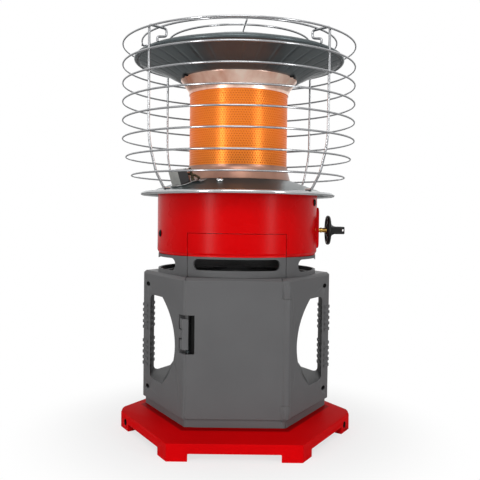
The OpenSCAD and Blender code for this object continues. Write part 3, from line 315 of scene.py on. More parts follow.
def applied(ob):
    """Bakes the modifiers of an object into its mesh."""
    dg = bpy.context.evaluated_depsgraph_get()
    dg.update()
    me = bpy.data.meshes.new_from_object(ob.evaluated_get(dg))
    ob.modifiers.clear()
    old = ob.data
    ob.data = me
    bpy.data.meshes.remove(old)
    return ob


def bevel(ob, width, segments=3, clamp=True, keep=None):
    """Eases the sharp edges; keep, where given, says which, by both their ends in mm."""
    md = ob.modifiers.new("edge", "BEVEL")
    md.width = width * MM
    md.segments = segments
    md.limit_method = "ANGLE"
    if keep:
        bm = bmesh.new()
        bm.from_mesh(ob.data)
        layers = bm.edges.layers.float
        layer = layers.get("bevel_weight_edge") or layers.new("bevel_weight_edge")
        for e in bm.edges:
            sharp = len(e.link_faces) == 2 and e.calc_face_angle(0) > math.radians(EASE_ANGLE)
            if sharp and all(keep(v.co / MM) for v in e.verts):
                e[layer] = 1.0
        bm.to_mesh(ob.data)
        bm.free()
        md.limit_method = "WEIGHT"
    md.angle_limit = math.radians(EASE_ANGLE)
    md.miter_outer = "MITER_ARC"
    md.use_clamp_overlap = clamp
    md.harden_normals = True
    applied(ob)
    smoothed(ob.data, SHARP_ANGLE)
    wn = ob.modifiers.new("normals", "WEIGHTED_NORMAL")
    wn.keep_sharp = True
    wn.weight = 60
    return ob


def cut(ob, cutters):
    for c in cutters:
        md = ob.modifiers.new("cut", "BOOLEAN")
        md.operation = "DIFFERENCE"
        md.solver = "MANIFOLD"
        md.object = c
    applied(ob)
    for c in cutters:
        me = c.data
        bpy.data.objects.remove(c)
        bpy.data.meshes.remove(me)
    return ob


def dressed(node, body, mat, width, name, segments=3, keep=None):
    """Copy of a CAD node with its edges eased."""
    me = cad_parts[node].data.copy()
    bm = bmesh.new()
    bm.from_mesh(me)
    bmesh.ops.remove_doubles(bm, verts=bm.verts, dist=CAD_MERGE_M)
    bmesh.ops.dissolve_limit(bm, angle_limit=math.radians(0.6), use_dissolve_boundaries=False,
                             verts=bm.verts, edges=bm.edges)
    bmesh.ops.triangulate(bm, faces=bm.faces, quad_method="BEAUTY", ngon_method="EAR_CLIP")
    bm.to_mesh(me)
    bm.free()
    me.materials.clear()
    me.materials.append(mat)
    ob = bpy.data.objects.new(name, me)
    bpy.context.scene.collection.objects.link(ob)
    bevel(ob, width, segments, clamp=False, keep=keep)
    return put(ob, body, node)


def retone(ob, inside, mat, facing_up=False):
    """Gives the faces whose middle is inside(point in mm) another material, such as the painted shade of a recess."""
    ob.data.materials.append(mat)
    k = len(ob.data.materials) - 1
    for p in ob.data.polygons:
        if inside(p.center / MM) and (p.normal.z > 0.15 or not facing_up):
            p.material_index = k
    return ob


# ---------------------------------------------------------------- sizes in mm, as in the CAD

Z_TOP, Z_COLLAR, Z_RIM, Z_DECK = 203.5, 226.6, 300.0, 320.0
Z_VALVE, Z_SCREEN, Z_FLARE, Z_REFL = 258.0, 334.0, 431.6, 448.0
COLLAR_R, COLLAR_WALL, DRUM_R, SCREEN_R = 101.3, 3.0, 102.7, 62.8
DECK_WALL, DECK_FALL, DECK_RUN = 1.2, 17.0, 48.0        # sheet, and the cone's drop over its run
DECK_TOP_R, DECK_FOOT_R = 70, 118                       # where the cone starts and ends
SLOPE = math.degrees(math.atan(DECK_FALL / DECK_RUN))
HOUSING_R = 121.5                                       # axis to a corner of the housing
FACE_REACH = HOUSING_R * math.cos(math.radians(30))     # axis to one of its outer faces
FACE_Y = -FACE_REACH
SEAM_X, DOOR_X = 58.6, 58                               # halves of the door's opening and of the door
HINGE_X, HINGE_Y = 58.44, -101.22
SCOOP_X, SCOOP_Z = 60, (45, 82)                         # the hollows below the hand openings
GRIP_X, GRIP_BANDS = 107.5, ((70, 172), (48, 61), (180, 193))    # hand openings and the ridges round them
POCKET_X, POCKET_Z = (-58.2, -47.4), (114.9, 160.1)     # finger gap beside the latch
TIP_X, TIE_OFF, TIE_Z = 153.4, 27, 10.2                 # tip of the base, tie-down holes from it and from the floor
TIE_R, TIE_DEPTH, TIE_LENGTH = 4.4, 9, 22
PLATE_X, PLATE_Z, KNOB_GAP = 104.5, 261, 11.0           # face and middle of the plate behind the knob
PLEATS, PLEAT_H, PLEAT_R = 36, 0.55, (80, 130.5)        # of the dish
PILOT_AZ, PILOT_R = -46.8, 88                           # middle of the pilot's plate on the deck
GLOW_FROM_M, GLOW_FULL_M = 0.332, 0.372                 # heights between which the emitter's glow grows
SHADE_FROM_M, SHADE_TO_M = 0.1052, 0.1085               # distances from the axis over which the painted shade fades


def deck_z(r):
    return Z_RIM + 3 + max(0, DECK_FOOT_R - max(r, DECK_TOP_R)) * DECK_FALL / DECK_RUN


def on_deck(az, r):
    """Matrix of a frame that stands square on the deck's cone, +X downhill."""
    return Matrix.Translation(polar(az, r, deck_z(r)) * MM) @ spin(az - 90, "Z") @ spin(SLOPE, "Y")


# ---------------------------------------------------------------- materials

M_RED = material("red_paint", (203, 0, 3), wear_and_highlight=0.12, rough=0.27, spec=0.07, var=0.03, var_scale=14,
                 bump=0.12, bump_scale=420, bump_mm=0.04)
M_REDP = material("red_plastic", (198, 0, 5), wear_and_highlight=0.15, rough=0.42, spec=0.04, var=0.05, var_scale=18,
                  bump=0.25, bump_scale=1300, bump_mm=0.05)
# the base's plastic, with painted shade along the foot of the housing
M_BASE = foot_shade(material("red_base_plastic", (210, 0, 5), wear_and_highlight=0.15, rough=0.62, spec=0.04, var=0.05,
                             var_scale=18, bump=0.25, bump_scale=1300, bump_mm=0.05))
M_GREY = material("grey_plastic", (93, 93, 94), rough=0.5, spec=0.2, var=0.04, var_scale=24,
                  bump=0.35, bump_scale=1500, bump_mm=0.06)
M_COLLAR = material("collar_grey", (90, 90, 91), rough=0.50, spec=0.18, var=0.04, var_scale=24,
                    bump=0.3, bump_scale=1500, bump_mm=0.06)
# darker grey for painted shade: in the hollows below the hand openings and on one side of the pilot hood
M_SHADE_GREY = material("painted_shade_grey", (66, 66, 67), rough=0.55, spec=0.15, var_scale=24,
                   bump=0.35, bump_scale=1500, bump_mm=0.06)
M_BLACK = material("black_plastic", (17, 17, 17), rough=0.42, spec=0.25, var=0.15, var_scale=60,
                   bump=0.25, bump_scale=1400, bump_mm=0.04)
M_BLACKM = material("black_metal", (12, 12, 13), rough=0.38, spec=0.1, var=0.2, var_scale=90,
                    bump=0.2, bump_scale=800, bump_mm=0.04)
M_BRASS = material("brass", (205, 165, 85), rough=0.28, metal=1.0, var=0.08, var_scale=120,
                   bump=0.2, bump_scale=600, bump_mm=0.02, stretch=(0.1, 1, 1))
M_STEEL = material("bright_steel", (60, 74, 77), rough=0.36, metal=0.5, spec=0.3, var_scale=30,
                   bump=0.12, bump_scale=500, bump_mm=0.02)
M_REFL = material("reflector_steel", (84, 92, 94), rough=0.30, metal=0.5, spec=0.3, var=0.07, var_scale=26,
                  bump=0.15, bump_scale=400, bump_mm=0.03)
M_ZINC = material("zinc", (164, 164, 164), rough=0.26, metal=1.0, var=0.08, var_scale=160,
                  bump=0.15, bump_mm=0.02)
M_HOOD = material("hood_steel", (186, 186, 182), rough=0.36, metal=0.55, var=0.08, var_scale=120,
                  bump=0.15, bump_mm=0.02)
M_WIRE = material("guard_wire", (168, 169, 171), rough=0.19, metal=1.0, var_scale=50, rough_var=0.03,
                  bump=0.04, bump_scale=700, bump_mm=0.02)
M_HEAT = material("heated_steel", (164, 124, 106), dark=(128, 92, 80), rough=0.34, metal=0.8, var=0.10,
                  var_scale=30, bump=0.15, bump_scale=500, bump_mm=0.02)
# its darker vertical streaks, drawn out along the height, are painted reflections
M_FLARE = material("flare_steel", (255, 230, 214), dark=(206, 140, 112), rough=0.30, metal=0.9, spec=0.3,
                   var=0.02, var_scale=45, bump=0.02, bump_scale=500, bump_mm=0.02, stretch=(1, 1, 0.02))
# paler, glossier metal: painted highlight on the deck's rolled rim, also used for the deck's screw heads
M_POLISH_AND_HIGHLIGHT = material("polish_and_painted_highlight", (196, 198, 199), rough=0.16, metal=1.0, var=0.08, bump_scale=500, bump_mm=0.02)
M_CAST = material("cast_alloy", (170, 170, 168), metal=1.0, var_scale=60, bump=0.4, bump_mm=0.08)
M_RUBBER = material("rubber", (24, 24, 24), rough=0.7, var=0.15, bump=0.3)
M_CERAM = material("ceramic", (232, 228, 216), rough=0.22, var=0.03)
M_LEAD = material("lead_sleeve", (150, 32, 26), rough=0.55, bump=0.2)
M_COPPER = material("copper_tip", (72, 64, 50), rough=0.35, metal=1.0, var=0.14, var_scale=200, bump=0.2)
M_MARK = material("white_mark", (235, 235, 235), var=0.02)
M_GLOW = glow_material("glowing_screen", (208, 122, 48), (216, 86, 12), 0.32, 0.33, 0.62)
M_GLOW_IN = glow_material("glowing_inner", (130, 56, 14), (228, 112, 30), 0.58, 0.6, 0.2)

# a faint glow lightens the flare ring under the dish: painted light, as the ring is no lamp
shader = shader_of(M_FLARE)
shader.inputs["Emission Color"].default_value = lin((255, 190, 160))
shader.inputs["Emission Strength"].default_value = 0.07

for mat, names in (
        (M_BLACKM, "housing_screws"),
        (M_ZINC, "base_screws latch_pin door_hinge_pin regulator_screws tie_rods tie_nuts regulator_strap "
                 "venturi_tube burner_cup pilot_tube"),
        (M_STEEL, "latch_spring regulator_spring valve_spring tip_ball"),
        (M_CAST, "regulator_body regulator_cap"),
        (M_RUBBER, "regulator_diaphragm inlet_seal"),
        (M_BRASS, "regulator_nut valve_rotor valve_nut gas_nozzle"),
        (M_LEAD, "igniter_lead"),
        (M_CERAM, "piezo_igniter igniter_insulator"),
        (M_BLACK, "tip_switch"),
        (M_HEAT, "burner_baffle pilot_burner igniter_electrode"),
        (M_COPPER, "thermocouple")):
    for name in names.split():
        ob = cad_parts[name]
        if not ob.data.materials:
            ob.data.materials.append(mat)
        for s in ob.material_slots:
            s.material = mat


# ---------------------------------------------------------------- base and housing

def hex_reach(p):
    """How far out a point lies, measured square to the nearest side of the hexagon."""
    return max(abs(p.x * math.cos(math.radians(a)) + p.y * math.sin(math.radians(a))) for a in (30, 90, 150))


def in_scoop(c):
    """In the hollow below a hand opening, where shade is painted."""
    return abs(c.x) > SCOOP_X and SCOOP_Z[0] < c.z < SCOOP_Z[1] and hex_reach(c) < FACE_REACH - 0.6


def in_tie_hole(c):
    """In one of the four tie-down holes at the tips of the base, which are painted black as shade."""
    for s in (1, -1):
        for side in (1, -1):
            x, y, t = c.x * s - TIP_X, c.y * s, math.radians(-side * 30)
            u, v = x * math.cos(t) - y * math.sin(t), x * math.sin(t) + y * math.cos(t)
            if (v - side * TIE_OFF) ** 2 + (c.z - TIE_Z) ** 2 < (TIE_R + 0.15) ** 2 and u < -0.2:
                return True
    return False


def tie_cutters():
    out = []
    for s in (0, 180):
        for side in (1, -1):
            m4 = (spin(s, "Z") @ Matrix.Translation((TIP_X * MM, 0, TIE_Z * MM)) @ spin(side * 30, "Z")
                  @ Matrix.Translation((-TIE_DEPTH * MM, side * TIE_OFF * MM, 0)) @ spin(90, "Y"))
            out.append(turned("cutter", [(0, 0), (TIE_R, 0), (TIE_R, TIE_LENGTH), (0, TIE_LENGTH)], None, 40,
                              close=False, frame_m=m4, smooth=False))
    return out


def in_pocket(c):
    """In the finger gap beside the latch, which is painted black as shade."""
    return POCKET_X[0] < c.x < POCKET_X[1] and POCKET_Z[0] < c.z < POCKET_Z[1] and c.y > FACE_Y + 0.5


def outside(p):
    """On the outer faces of the housing, away from its openings, ridges, hinge and seams."""
    grip = abs(p.x) > GRIP_X and any(lo < p.z < hi for lo, hi in GRIP_BANDS)
    hinge = (p.x - HINGE_X) ** 2 + (p.y - HINGE_Y) ** 2 < 8 ** 2
    seam = abs(abs(p.x) - SEAM_X) < 0.5 and p.y < -95
    return hex_reach(p) > 100.5 and not grip and not hinge and not seam and abs(p.y) > 0.5


# the tie-down holes' inner faces are painted black: painted shade of their depth
retone(cut(dressed("base", "heater", M_BASE, 0.9, "base_moulding"), tie_cutters()),
       in_tie_hole, M_BLACK)
# the upward faces in the hollows below the hand openings get the darker grey: painted shade
for side in ("front", "rear"):
    retone(dressed("housing_" + side, "heater", M_GREY, 0.7, f"housing_{side}_shell", keep=outside),
           in_scoop, M_SHADE_GREY, facing_up=True)
# the faces in the finger gap beside the latch are painted black as shade
retone(dressed("door_panel", "door", M_GREY, 0.3, "door_front"), in_pocket, M_BLACK)
# the latch bar's right and rear faces are painted black: painted shade on that side
retone(dressed("door_latch", "latch", M_GREY, 0.5, "latch_bar"),
       lambda c: c.x > -55.5 and c.y > FACE_Y + 2.0, M_BLACK)

# lip behind the door's free edge, above and below the latch
bm = bmesh.new()
for z0, z1 in ((41, 114.5), (160.5, 199)):
    box_into(bm, (-58.75, FACE_Y + 0.35, z0), (-58.08, FACE_Y + 2.6, z1))
put(solid("door_stop_lip", bm, M_GREY, smooth=False), "heater", None)

# wing of the latch bar that follows the housing's side, notched at the catch
bm = bmesh.new()
tan60 = 1.732
for z0, z1, out in ((119.5, 131, 3.6), (131, 144, 1.1), (144, 155.5, 3.6)):
    ring = [(-61.7, 2.65), (-61.7 - out, 2.65 + out * tan60), (-60.5 - out, 3.35 + out * tan60), (-60.5, 3.35)]
    lo = [bm.verts.new(Vector((x, FACE_Y + y, z0)) * MM) for x, y in ring]
    hi = [bm.verts.new(Vector((x, FACE_Y + y, z1)) * MM) for x, y in ring]
    for i in range(4):
        j = (i + 1) % 4
        bm.faces.new([lo[i], lo[j], hi[j], hi[i]])
    bm.faces.new(lo[::-1])
    bm.faces.new(hi)
put(bevel(solid("latch_wing", bm, M_GREY, smooth=False), 0.3, 2), "latch", None)


# ---------------------------------------------------------------- vent collar, drum, door upper parts

def slot_cutter(az, half, r, z, h):
    """Rounded slot through a ring wall, half its length in degrees, its lower edge at z."""
    bm = bmesh.new()
    steps = 40
    edge = math.degrees((h / 2) / r)
    outline = []
    for s, start, level in ((-1, 90, z), (1, -90, z + h)):
        for i in range(9):
            t = math.radians(start + 180 * i / 8)
            outline.append((az + s * half + edge * math.cos(t), z + h / 2 + h / 2 * math.sin(t)))
        for i in range(1, steps):
            outline.append((az + s * half - s * 2 * half * i / steps, level))
    inner, outer = ([bm.verts.new(polar(a, r + out, zz) * MM) for a, zz in outline] for out in (-14, 14))
    n = len(outline)
    for i in range(n):
        j = (i + 1) % n
        bm.faces.new([inner[i], inner[j], outer[j], outer[i]])
    for ring in (inner, outer):
        bmesh.ops.triangle_fill(bm, use_beauty=True, use_dissolve=False,
                                edges=[bm.edges.get((ring[i], ring[(i + 1) % n])) for i in range(n)])
    return solid("cutter", bm, None, smooth=False)


def door_opening(y1, z0, z1):
    """Block that clears a ring where the door stands."""
    return box_cutter((-SEAM_X, -150, z0), (SEAM_X, y1, z1))


def door_sides():
    """Blocks that leave only the door's width of a ring."""
    return [box_cutter((-200, -200, 0), (-DOOR_X, 200, 400)), box_cutter((DOOR_X, -200, 0), (200, 200, 400)),
            box_cutter((-200, -40, 0), (200, 200, 400))]


collar_in = COLLAR_R - COLLAR_WALL
ob = turned("vent_collar_ring", [(COLLAR_R, Z_TOP), (COLLAR_R, Z_COLLAR), (collar_in, Z_COLLAR), (collar_in, Z_TOP)],
            M_COLLAR, 256)
cut(ob, [slot_cutter(a, 39, COLLAR_R, 208.3, 15) for a in (-90, 90)] + [door_opening(0, 190, 240)])
put(bevel(ob, 0.5, 2), "heater", "vent_collar")

behind_r, z_behind = DRUM_R - 1.65, Z_COLLAR + 23.4    # the door's collar goes on up behind its red skin
prof = [(COLLAR_R, Z_TOP), (COLLAR_R, Z_COLLAR - 0.02), (behind_r, Z_COLLAR - 0.02), (behind_r, z_behind),
        (collar_in, z_behind), (collar_in, Z_TOP)]
ob = cut(turned("door_vent", prof, M_COLLAR, 256), door_sides() + [slot_cutter(0, 26.7, COLLAR_R, 211.2, 13.2)])
put(bevel(ob, 0.6, 2), "door", "door_collar")

drum_in, flange_r = DRUM_R - 1.5, DRUM_R - 11
z_drum = deck_z(DRUM_R) - DECK_WALL / math.cos(math.radians(SLOPE)) - 0.05
lip = [(DRUM_R - 2.6, Z_COLLAR + 0.3), (DRUM_R - 0.3, Z_COLLAR + 3.9), (DRUM_R, Z_COLLAR + 4.8)]
prof = [(flange_r, Z_COLLAR), (DRUM_R - 3.2, Z_COLLAR)] + lip + [
    (DRUM_R, z_drum), (drum_in, z_drum), (drum_in, Z_COLLAR + 1.5), (flange_r, Z_COLLAR + 1.5)]
ob = cut(turned("drum_shell", prof, M_RED, 256), [door_opening(-20, 220, Z_COLLAR + 28.0)])
put(bevel(ob, 0.3, 2), "heater", "control_drum")

prof = [(drum_in, Z_COLLAR + 0.3), (DRUM_R - 3.0, Z_COLLAR + 0.25)] + lip + [
    (DRUM_R, Z_COLLAR + 27.4), (drum_in, Z_COLLAR + 27.4)]
ob = cut(turned("door_upper_skin", prof, M_RED, 256), door_sides())
put(bevel(ob, 0.3, 2), "door", "door_red_panel")

# raised plate behind the knob: its outline on the drum, then rings up to its eased face
bm = bmesh.new()
plate_w, plate_h, corner = 32.0, 52.0, 8.0
cx, cz = plate_w / 2 - corner, plate_h / 2 - corner
outline = []
for sx, sz, a0 in ((1, 1, 0), (-1, 1, 90), (-1, -1, 180), (1, -1, 270)):
    for i in range(9):
        t = math.radians(a0 + 90 * i / 8)
        outline.append((sx * cx + corner * math.cos(t), sz * cz + corner * math.sin(t)))
rings = []
for inset, x_out in ((0.0, None), (0.0, 103.6), (0.35, 104.25), (1.0, PLATE_X)):
    s, t = (plate_w / 2 - inset) / (plate_w / 2), (plate_h / 2 - inset) / (plate_h / 2)
    ring = []
    for y, z in outline:
        x = x_out or math.sqrt((DRUM_R + 0.05) ** 2 - (y * s) ** 2)
        ring.append(bm.verts.new(Vector((x, y * s, PLATE_Z + z * t)) * MM))
    rings.append(ring)
for a, b in zip(rings, rings[1:]):
    for i in range(len(outline)):
        j = (i + 1) % len(outline)
        bm.faces.new([a[i], a[j], b[j], b[i]])
bm.faces.new(rings[-1])
bm.faces.new(rings[0][::-1])
put(solid("knob_plate", bm, M_REDP, angle=60), "heater", "control_bezel")


# ---------------------------------------------------------------- round heads

def head(name, m4, h, mat, node, r=4.4):
    """Round head that stands on a frame's origin along +Z, with a cross recess."""
    dome = [math.radians(t) for t in range(12, 90, 13)]
    prof = [(0, -0.4), (r * 0.55, -0.4), (r * 0.98, 0.0), (r, 0.25)] + [
        (r * math.cos(t), 0.25 + (h - 0.25) * math.sin(t)) for t in dome] + [(0, h)]
    ob = turned(name, prof, mat, 32, close=False, frame_m=m4)
    cut(ob, [box_cutter((-r * 0.55, -r * 0.11, h * 0.45), (r * 0.55, r * 0.11, h + 2), m4 @ spin(a, "Z"))
             for a in (20, 110)])
    smoothed(ob.data, 35)
    return put(ob, "heater", node)


def on_drum(az, up):
    """Matrix of a frame on the drum's wall, +Z outwards."""
    return Matrix.Translation(polar(az, DRUM_R + 0.15, Z_COLLAR + up) * MM) @ spin(az - 90, "Z") @ spin(90, "Y")


head("drum_head_left", on_drum(-68, 25.9), 1.9, M_BLACKM, "drum_screws")
head("drum_head_right", on_drum(68, 66), 1.9, M_BLACKM, None)
for i, az in enumerate((-15.4, 164.6)):
    head(f"deck_head_{i}", on_deck(az, 83) @ Matrix.Translation((-4 * MM, 0, 0.1 * MM)), 3.6, M_POLISH_AND_HIGHLIGHT,
         "deck_screws" if i == 0 else None)


# ---------------------------------------------------------------- knob and stem

knob_x = PLATE_X + KNOB_GAP
knob_m = Matrix.Translation((knob_x * MM, 0, Z_VALVE * MM)) @ spin(90, "Y")
disc = [(0, 1.2), (6.2, 1.2), (6.5, 0.2), (7.2, 0), (8.0, 0.2), (8.3, 2.0), (15.2, 2.0), (15.7, 0.5), (16.6, 0),
        (17.8, 0.15), (18.7, 0.9), (19, 2.1), (18.7, 3.6), (17.8, 4.5), (15, 5.1), (11, 5.7), (8, 6.6), (6.2, 8.2),
        (5.2, 10.6), (4.8, 13.2), (0, 13.2)]
put(turned("knob_disc", disc, M_BLACK, 96, close=False, frame_m=knob_m, angle=50),
    "knob", "control_knob")

bm = bmesh.new()
box_into(bm, (-4.75, -15.5, 2.8), (4.75, 15.5, 22.0), knob_m)
ob = solid("knob_grip", bm, M_BLACK, smooth=False)
# it narrows a little towards its outer face
for v in ob.data.vertices:
    if v.co.x > (knob_x + 18) * MM:
        v.co.y *= 0.93
put(bevel(ob, 1.3, 4), "knob", None)

bm = bmesh.new()
box_into(bm, (knob_x + 18.6, -15.2, Z_VALVE - 1.0), (knob_x + 20.3, -14.2, Z_VALVE + 1.6))
put(solid("knob_mark", bm, M_MARK, smooth=False), "knob", None)

stem = [(0, 46), (2.7, 46), (3.1, 46.6), (3.1, 83.8), (5, 84), (5, 86), (3.1, 86.2), (3.1, 103.2), (3.4, 103.6),
        (3.4, 105.2), (2.75, 105.7), (2.75, 107.5), (3.4, 108.0), (3.4, 109.4), (2.9, 109.9), (2.9, 111.6),
        (3.1, 112), (3.1, 126), (0, 126)]
put(turned("stem", stem, M_BRASS, 40, close=False, frame_m=Matrix.Translation((0, 0, Z_VALVE * MM)) @ spin(90, "Y")),
    "knob", "valve_stem")


# ---------------------------------------------------------------- deck, burner, reflector

prof = [(56.3, Z_DECK), (68.5, Z_DECK), (70.5, Z_DECK - 0.25), (72, Z_DECK - 0.75), (117, Z_RIM + 3.36),
        (118.5, Z_RIM + 3.05), (119.8, Z_RIM + 3.5)] + arc(122.3, Z_RIM + 2.5, 2.5, 150, -200, 20) + [
    (118.5, Z_RIM + 1.8), (117, Z_RIM + 2.1), (72, Z_DECK - 2.0), (70, Z_DECK - 1.35), (56.3, Z_DECK - 1.27)]
ob = turned("deck_plate", prof, M_STEEL, 288)
# the rolled rim gets a paler, glossier metal: a painted highlight
retone(ob, lambda c: c.to_2d().length > 119.2, M_POLISH_AND_HIGHLIGHT)
put(ob, "heater", "burner_deck")

prof = [(67.7, Z_DECK + 0.05), (67.9, Z_DECK + 0.5), (67.4, Z_DECK + 1.1), (64.3, Z_SCREEN - 1.6),
        (63.9, Z_SCREEN - 0.8), (63.9, Z_SCREEN + 3.2), (63.6, Z_SCREEN + 3.5), (62.9, Z_SCREEN + 3.5),
        (62.9, Z_SCREEN - 0.6), (66.4, Z_DECK + 0.8), (66.6, Z_DECK + 0.05)]
put(turned("lower_ring", prof, M_HEAT, 256), "heater", "burner_skirt")


def perforated(name, r, thick, z0, z1, across, hole, mat):
    """Thin tube with staggered round holes cut through it, across apart and of radius hole."""
    bm = bmesh.new()
    cols = int(round(TAU * r / across))
    dz = across * 0.866
    rows = int((z1 - z0 - 3.0) / dz)
    pad = (z1 - z0 - rows * dz) / 2
    sides = 8
    da = TAU / cols
    cache = {}

    def vert(rad, a, z):
        key = (round(rad, 3), round((a % TAU) * 1e5) % round(TAU * 1e5), round(z, 3))
        if key not in cache:
            cache[key] = bm.verts.new(Vector((rad * math.cos(a), rad * math.sin(a), z)) * MM)
        return cache[key]

    def face(vs):
        """A face, unless it is there already, as next to the seam."""
        try:
            bm.faces.new(vs)
        except ValueError:
            pass

    for row in range(rows):
        zc = z0 + pad + dz * (row + 0.5)
        off = 0.5 if row % 2 else 0.0
        for c in range(cols):
            ac = da * (c + off)
            ring = {}
            for rad in (r, r - thick):
                turns = [math.radians(22.5 + 45 * q) for q in range(sides)]
                h = [vert(rad, ac + hole / r * math.cos(t), zc + hole * math.sin(t)) for t in turns]
                k = [vert(rad, ac + da / 2 * u, zc + dz / 2 * v)
                     for u, v in ((1, 1), (0, 1), (-1, 1), (-1, -1), (0, -1), (1, -1))]
                for q in ([k[0], k[1], h[1], h[0]], [k[1], h[2], h[1]], [k[1], k[2], h[3], h[2]],
                          [k[2], k[3], h[4], h[3]], [k[3], k[4], h[5], h[4]], [k[4], h[6], h[5]],
                          [k[4], k[5], h[7], h[6]], [k[5], k[0], h[0], h[7]]):
                    face(q if rad == r else q[::-1])
                ring[rad] = h
            for q in range(sides):
                j = (q + 1) % sides
                face([ring[r][q], ring[r - thick][q], ring[r - thick][j], ring[r][j]])
    half = TAU / cols / 2
    for c in range(cols * 2):
        a, b = half * c, half * (c + 1)
        for za, zb in ((z0, z0 + pad), (z1 - pad, z1)):
            for rad in (r, r - thick):
                face([vert(rad, a, za), vert(rad, b, za), vert(rad, b, zb), vert(rad, a, zb)])
        for z in (z0, z1):
            face([vert(r, a, z), vert(r, b, z), vert(r - thick, b, z), vert(r - thick, a, z)])
    return solid(name, bm, mat, angle=50)


put(perforated("emitter_screen", SCREEN_R, 0.8, Z_SCREEN + 0.05, Z_FLARE, 3.3, 0.95, M_GLOW),
    "heater", "burner_screen")
prof = [(60, Z_DECK + 1.25), (60, Z_FLARE - 1.6), (59.2, Z_FLARE - 1.6), (59.2, Z_DECK + 1.25)]
put(turned("inner_emitter", prof, M_GLOW_IN, 160), "heater", "inner_screen")

prof = [(62.9, Z_FLARE - 3), (63.85, Z_FLARE - 3), (63.85, Z_FLARE + 0.6), (64.4, Z_FLARE + 1.6), (69.0, Z_FLARE + 8.2),
        (73.6, Z_FLARE + 14.6), (74.4, Z_FLARE + 15.6), (74.4, Z_REFL - 0.06), (73.0, Z_REFL - 0.06),
        (68.0, Z_FLARE + 8.6), (63.0, Z_FLARE + 1.9), (61.2, Z_FLARE + 1.0), (61.2, Z_FLARE + 0.1),
        (62.9, Z_FLARE + 0.1)]
put(turned("flare", prof, M_FLARE, 256), "heater", "flare_ring")

bm = bmesh.new()
for az in (-59, 59, 121, 239):
    box_into(bm, (73.4, -2.4, Z_REFL - 1.5), (80.0, 2.4, Z_REFL - 0.1), spin(az - 90, "Z"))
    box_into(bm, (79.0, -2.4, Z_REFL - 4.0), (80.0, 2.4, Z_REFL - 1.5), spin(az - 90, "Z"))
put(bevel(solid("flare_tabs", bm, M_BLACKM, smooth=False), 0.25, 2), "heater", None)


def pleats(r, a):
    """Radial pleats pressed into the sloping part of the dish."""
    first, last = PLEAT_R
    if r < first or r > last:
        return 0.0
    f = min(1, (r - first) / 8.0, (last - r) / 5.0)
    s = math.sin(PLEATS * a)
    return PLEAT_H * f * max(0.0, abs(s) ** 6 * math.copysign(1, s))


roll_r, roll_t, z_roll = 131.4, 2.6, Z_REFL + 23.8
under = [(0, 0), (40, 0), (76, 0), (78.1, 0.1), (80, 0.9), (86, 3.9), (92, 7.1), (98.5, 10.4), (106, 13.3), (114, 16.2),
         (122, 19.1)]
over = [(122, 20.1), (114, 17.2), (106, 14.3), (98.1, 11.5), (92, 8.2), (86, 5.0), (80, 2.0), (77.6, 1.1), (60, 1),
        (0, 1)]
prof = [(r, Z_REFL + z) for r, z in under] + [(129.4, z_roll - 2.1)] + arc(roll_r, z_roll, roll_t, -140, 140, 18) + [
    (129.0, z_roll - 0.9)] + [(r, Z_REFL + z) for r, z in over]
put(turned("reflector_dish", prof, M_REFL, 576, close=False, ripple=pleats), "heater", "reflector")

z_cover, edge = 474.4, roll_r - 1
prof = [(edge, z_cover + 0.1), (edge, z_cover + 0.9), (edge - 0.5, z_cover + 1.25), (74, 491.9), (72, 492.6),
        (70, 492.95), (60, 493.9), (48, 494.8), (36, 495.6), (24, 496.2), (12, 496.7), (0, 496.9), (0, 495.9),
        (12, 495.7), (24, 495.2), (36, 494.6), (48, 493.8), (60, 492.9), (70, 491.95), (72, 491.6), (74, 490.9)]
put(turned("reflector_top", prof, M_REFL, 288), "heater", "reflector_cover")


# ---------------------------------------------------------------- guard

WIRE_R, POST_WIRE_R, CLEAR = 1.2, 1.5, 0.02    # hoops and radials, uprights, air at a weld
LEAN = 0.31                                    # how far the uprights step in per mm below the bend
Z_HOOP, Z_BEND = 488.3, 361.0
WIDEST_R = 147.6                               # axis to the middle of the widest hoops' wire
POST_R = WIDEST_R - WIRE_R - POST_WIRE_R - CLEAR
FIRST_STEP, HOOP_STEP, HOOPS = 25.4, 23.0, 8
hoops = [Z_HOOP] + [Z_HOOP - FIRST_STEP - HOOP_STEP * i for i in range(HOOPS - 1)]


def post_r_at(z):
    """Radius of an upright's middle at a height."""
    return POST_R - max(0, Z_BEND - z) * LEAN


def hoop_r(z):
    """Radius of the hoop that lies against the outside of the uprights at a height."""
    lean = POST_WIRE_R / math.cos(math.atan(LEAN)) - POST_WIRE_R if z < Z_BEND else 0
    return post_r_at(z - WIRE_R) + lean + POST_WIRE_R + WIRE_R + CLEAR


def guard_part(name, bm, node):
    put(new_object(name, bm, M_WIRE, angle=60), "heater", node)


bm = bmesh.new()
for z in hoops:
    tube_into(bm, circle_pts(hoop_r(z), z, 240), WIRE_R, 12, closed=True)
guard_part("hoops", bm, "guard_hoops")

# the radials run inwards below both top rings and rise to the cover's hump
z_post_top = Z_HOOP + 2.7
z_top_ring = z_post_top + POST_WIRE_R + WIRE_R + CLEAR
r_top_ring, r_outer, r_inner, r_tip = 124, 125.0, 90, 57
r_hump, z_hump, hump_h = 72.0, 492.6, 4.3 * 1.4    # foot of the hump, and how the radials rise over it
z_outer = z_top_ring - 2 * WIRE_R - CLEAR
z_tip = z_hump + hump_h * (1 - r_tip / r_hump) + WIRE_R + 0.2
rise = (z_tip - z_outer) / (r_outer - r_tip)
z_inner_ring = z_outer + rise * (r_outer - r_inner) + 2 * WIRE_R + CLEAR
bm = bmesh.new()
tube_into(bm, circle_pts(r_top_ring, z_top_ring, 240), WIRE_R, 12, closed=True)
tube_into(bm, circle_pts(r_inner, z_inner_ring, 200), WIRE_R, 12, closed=True)
guard_part("top_rings", bm, "guard_top_rings")

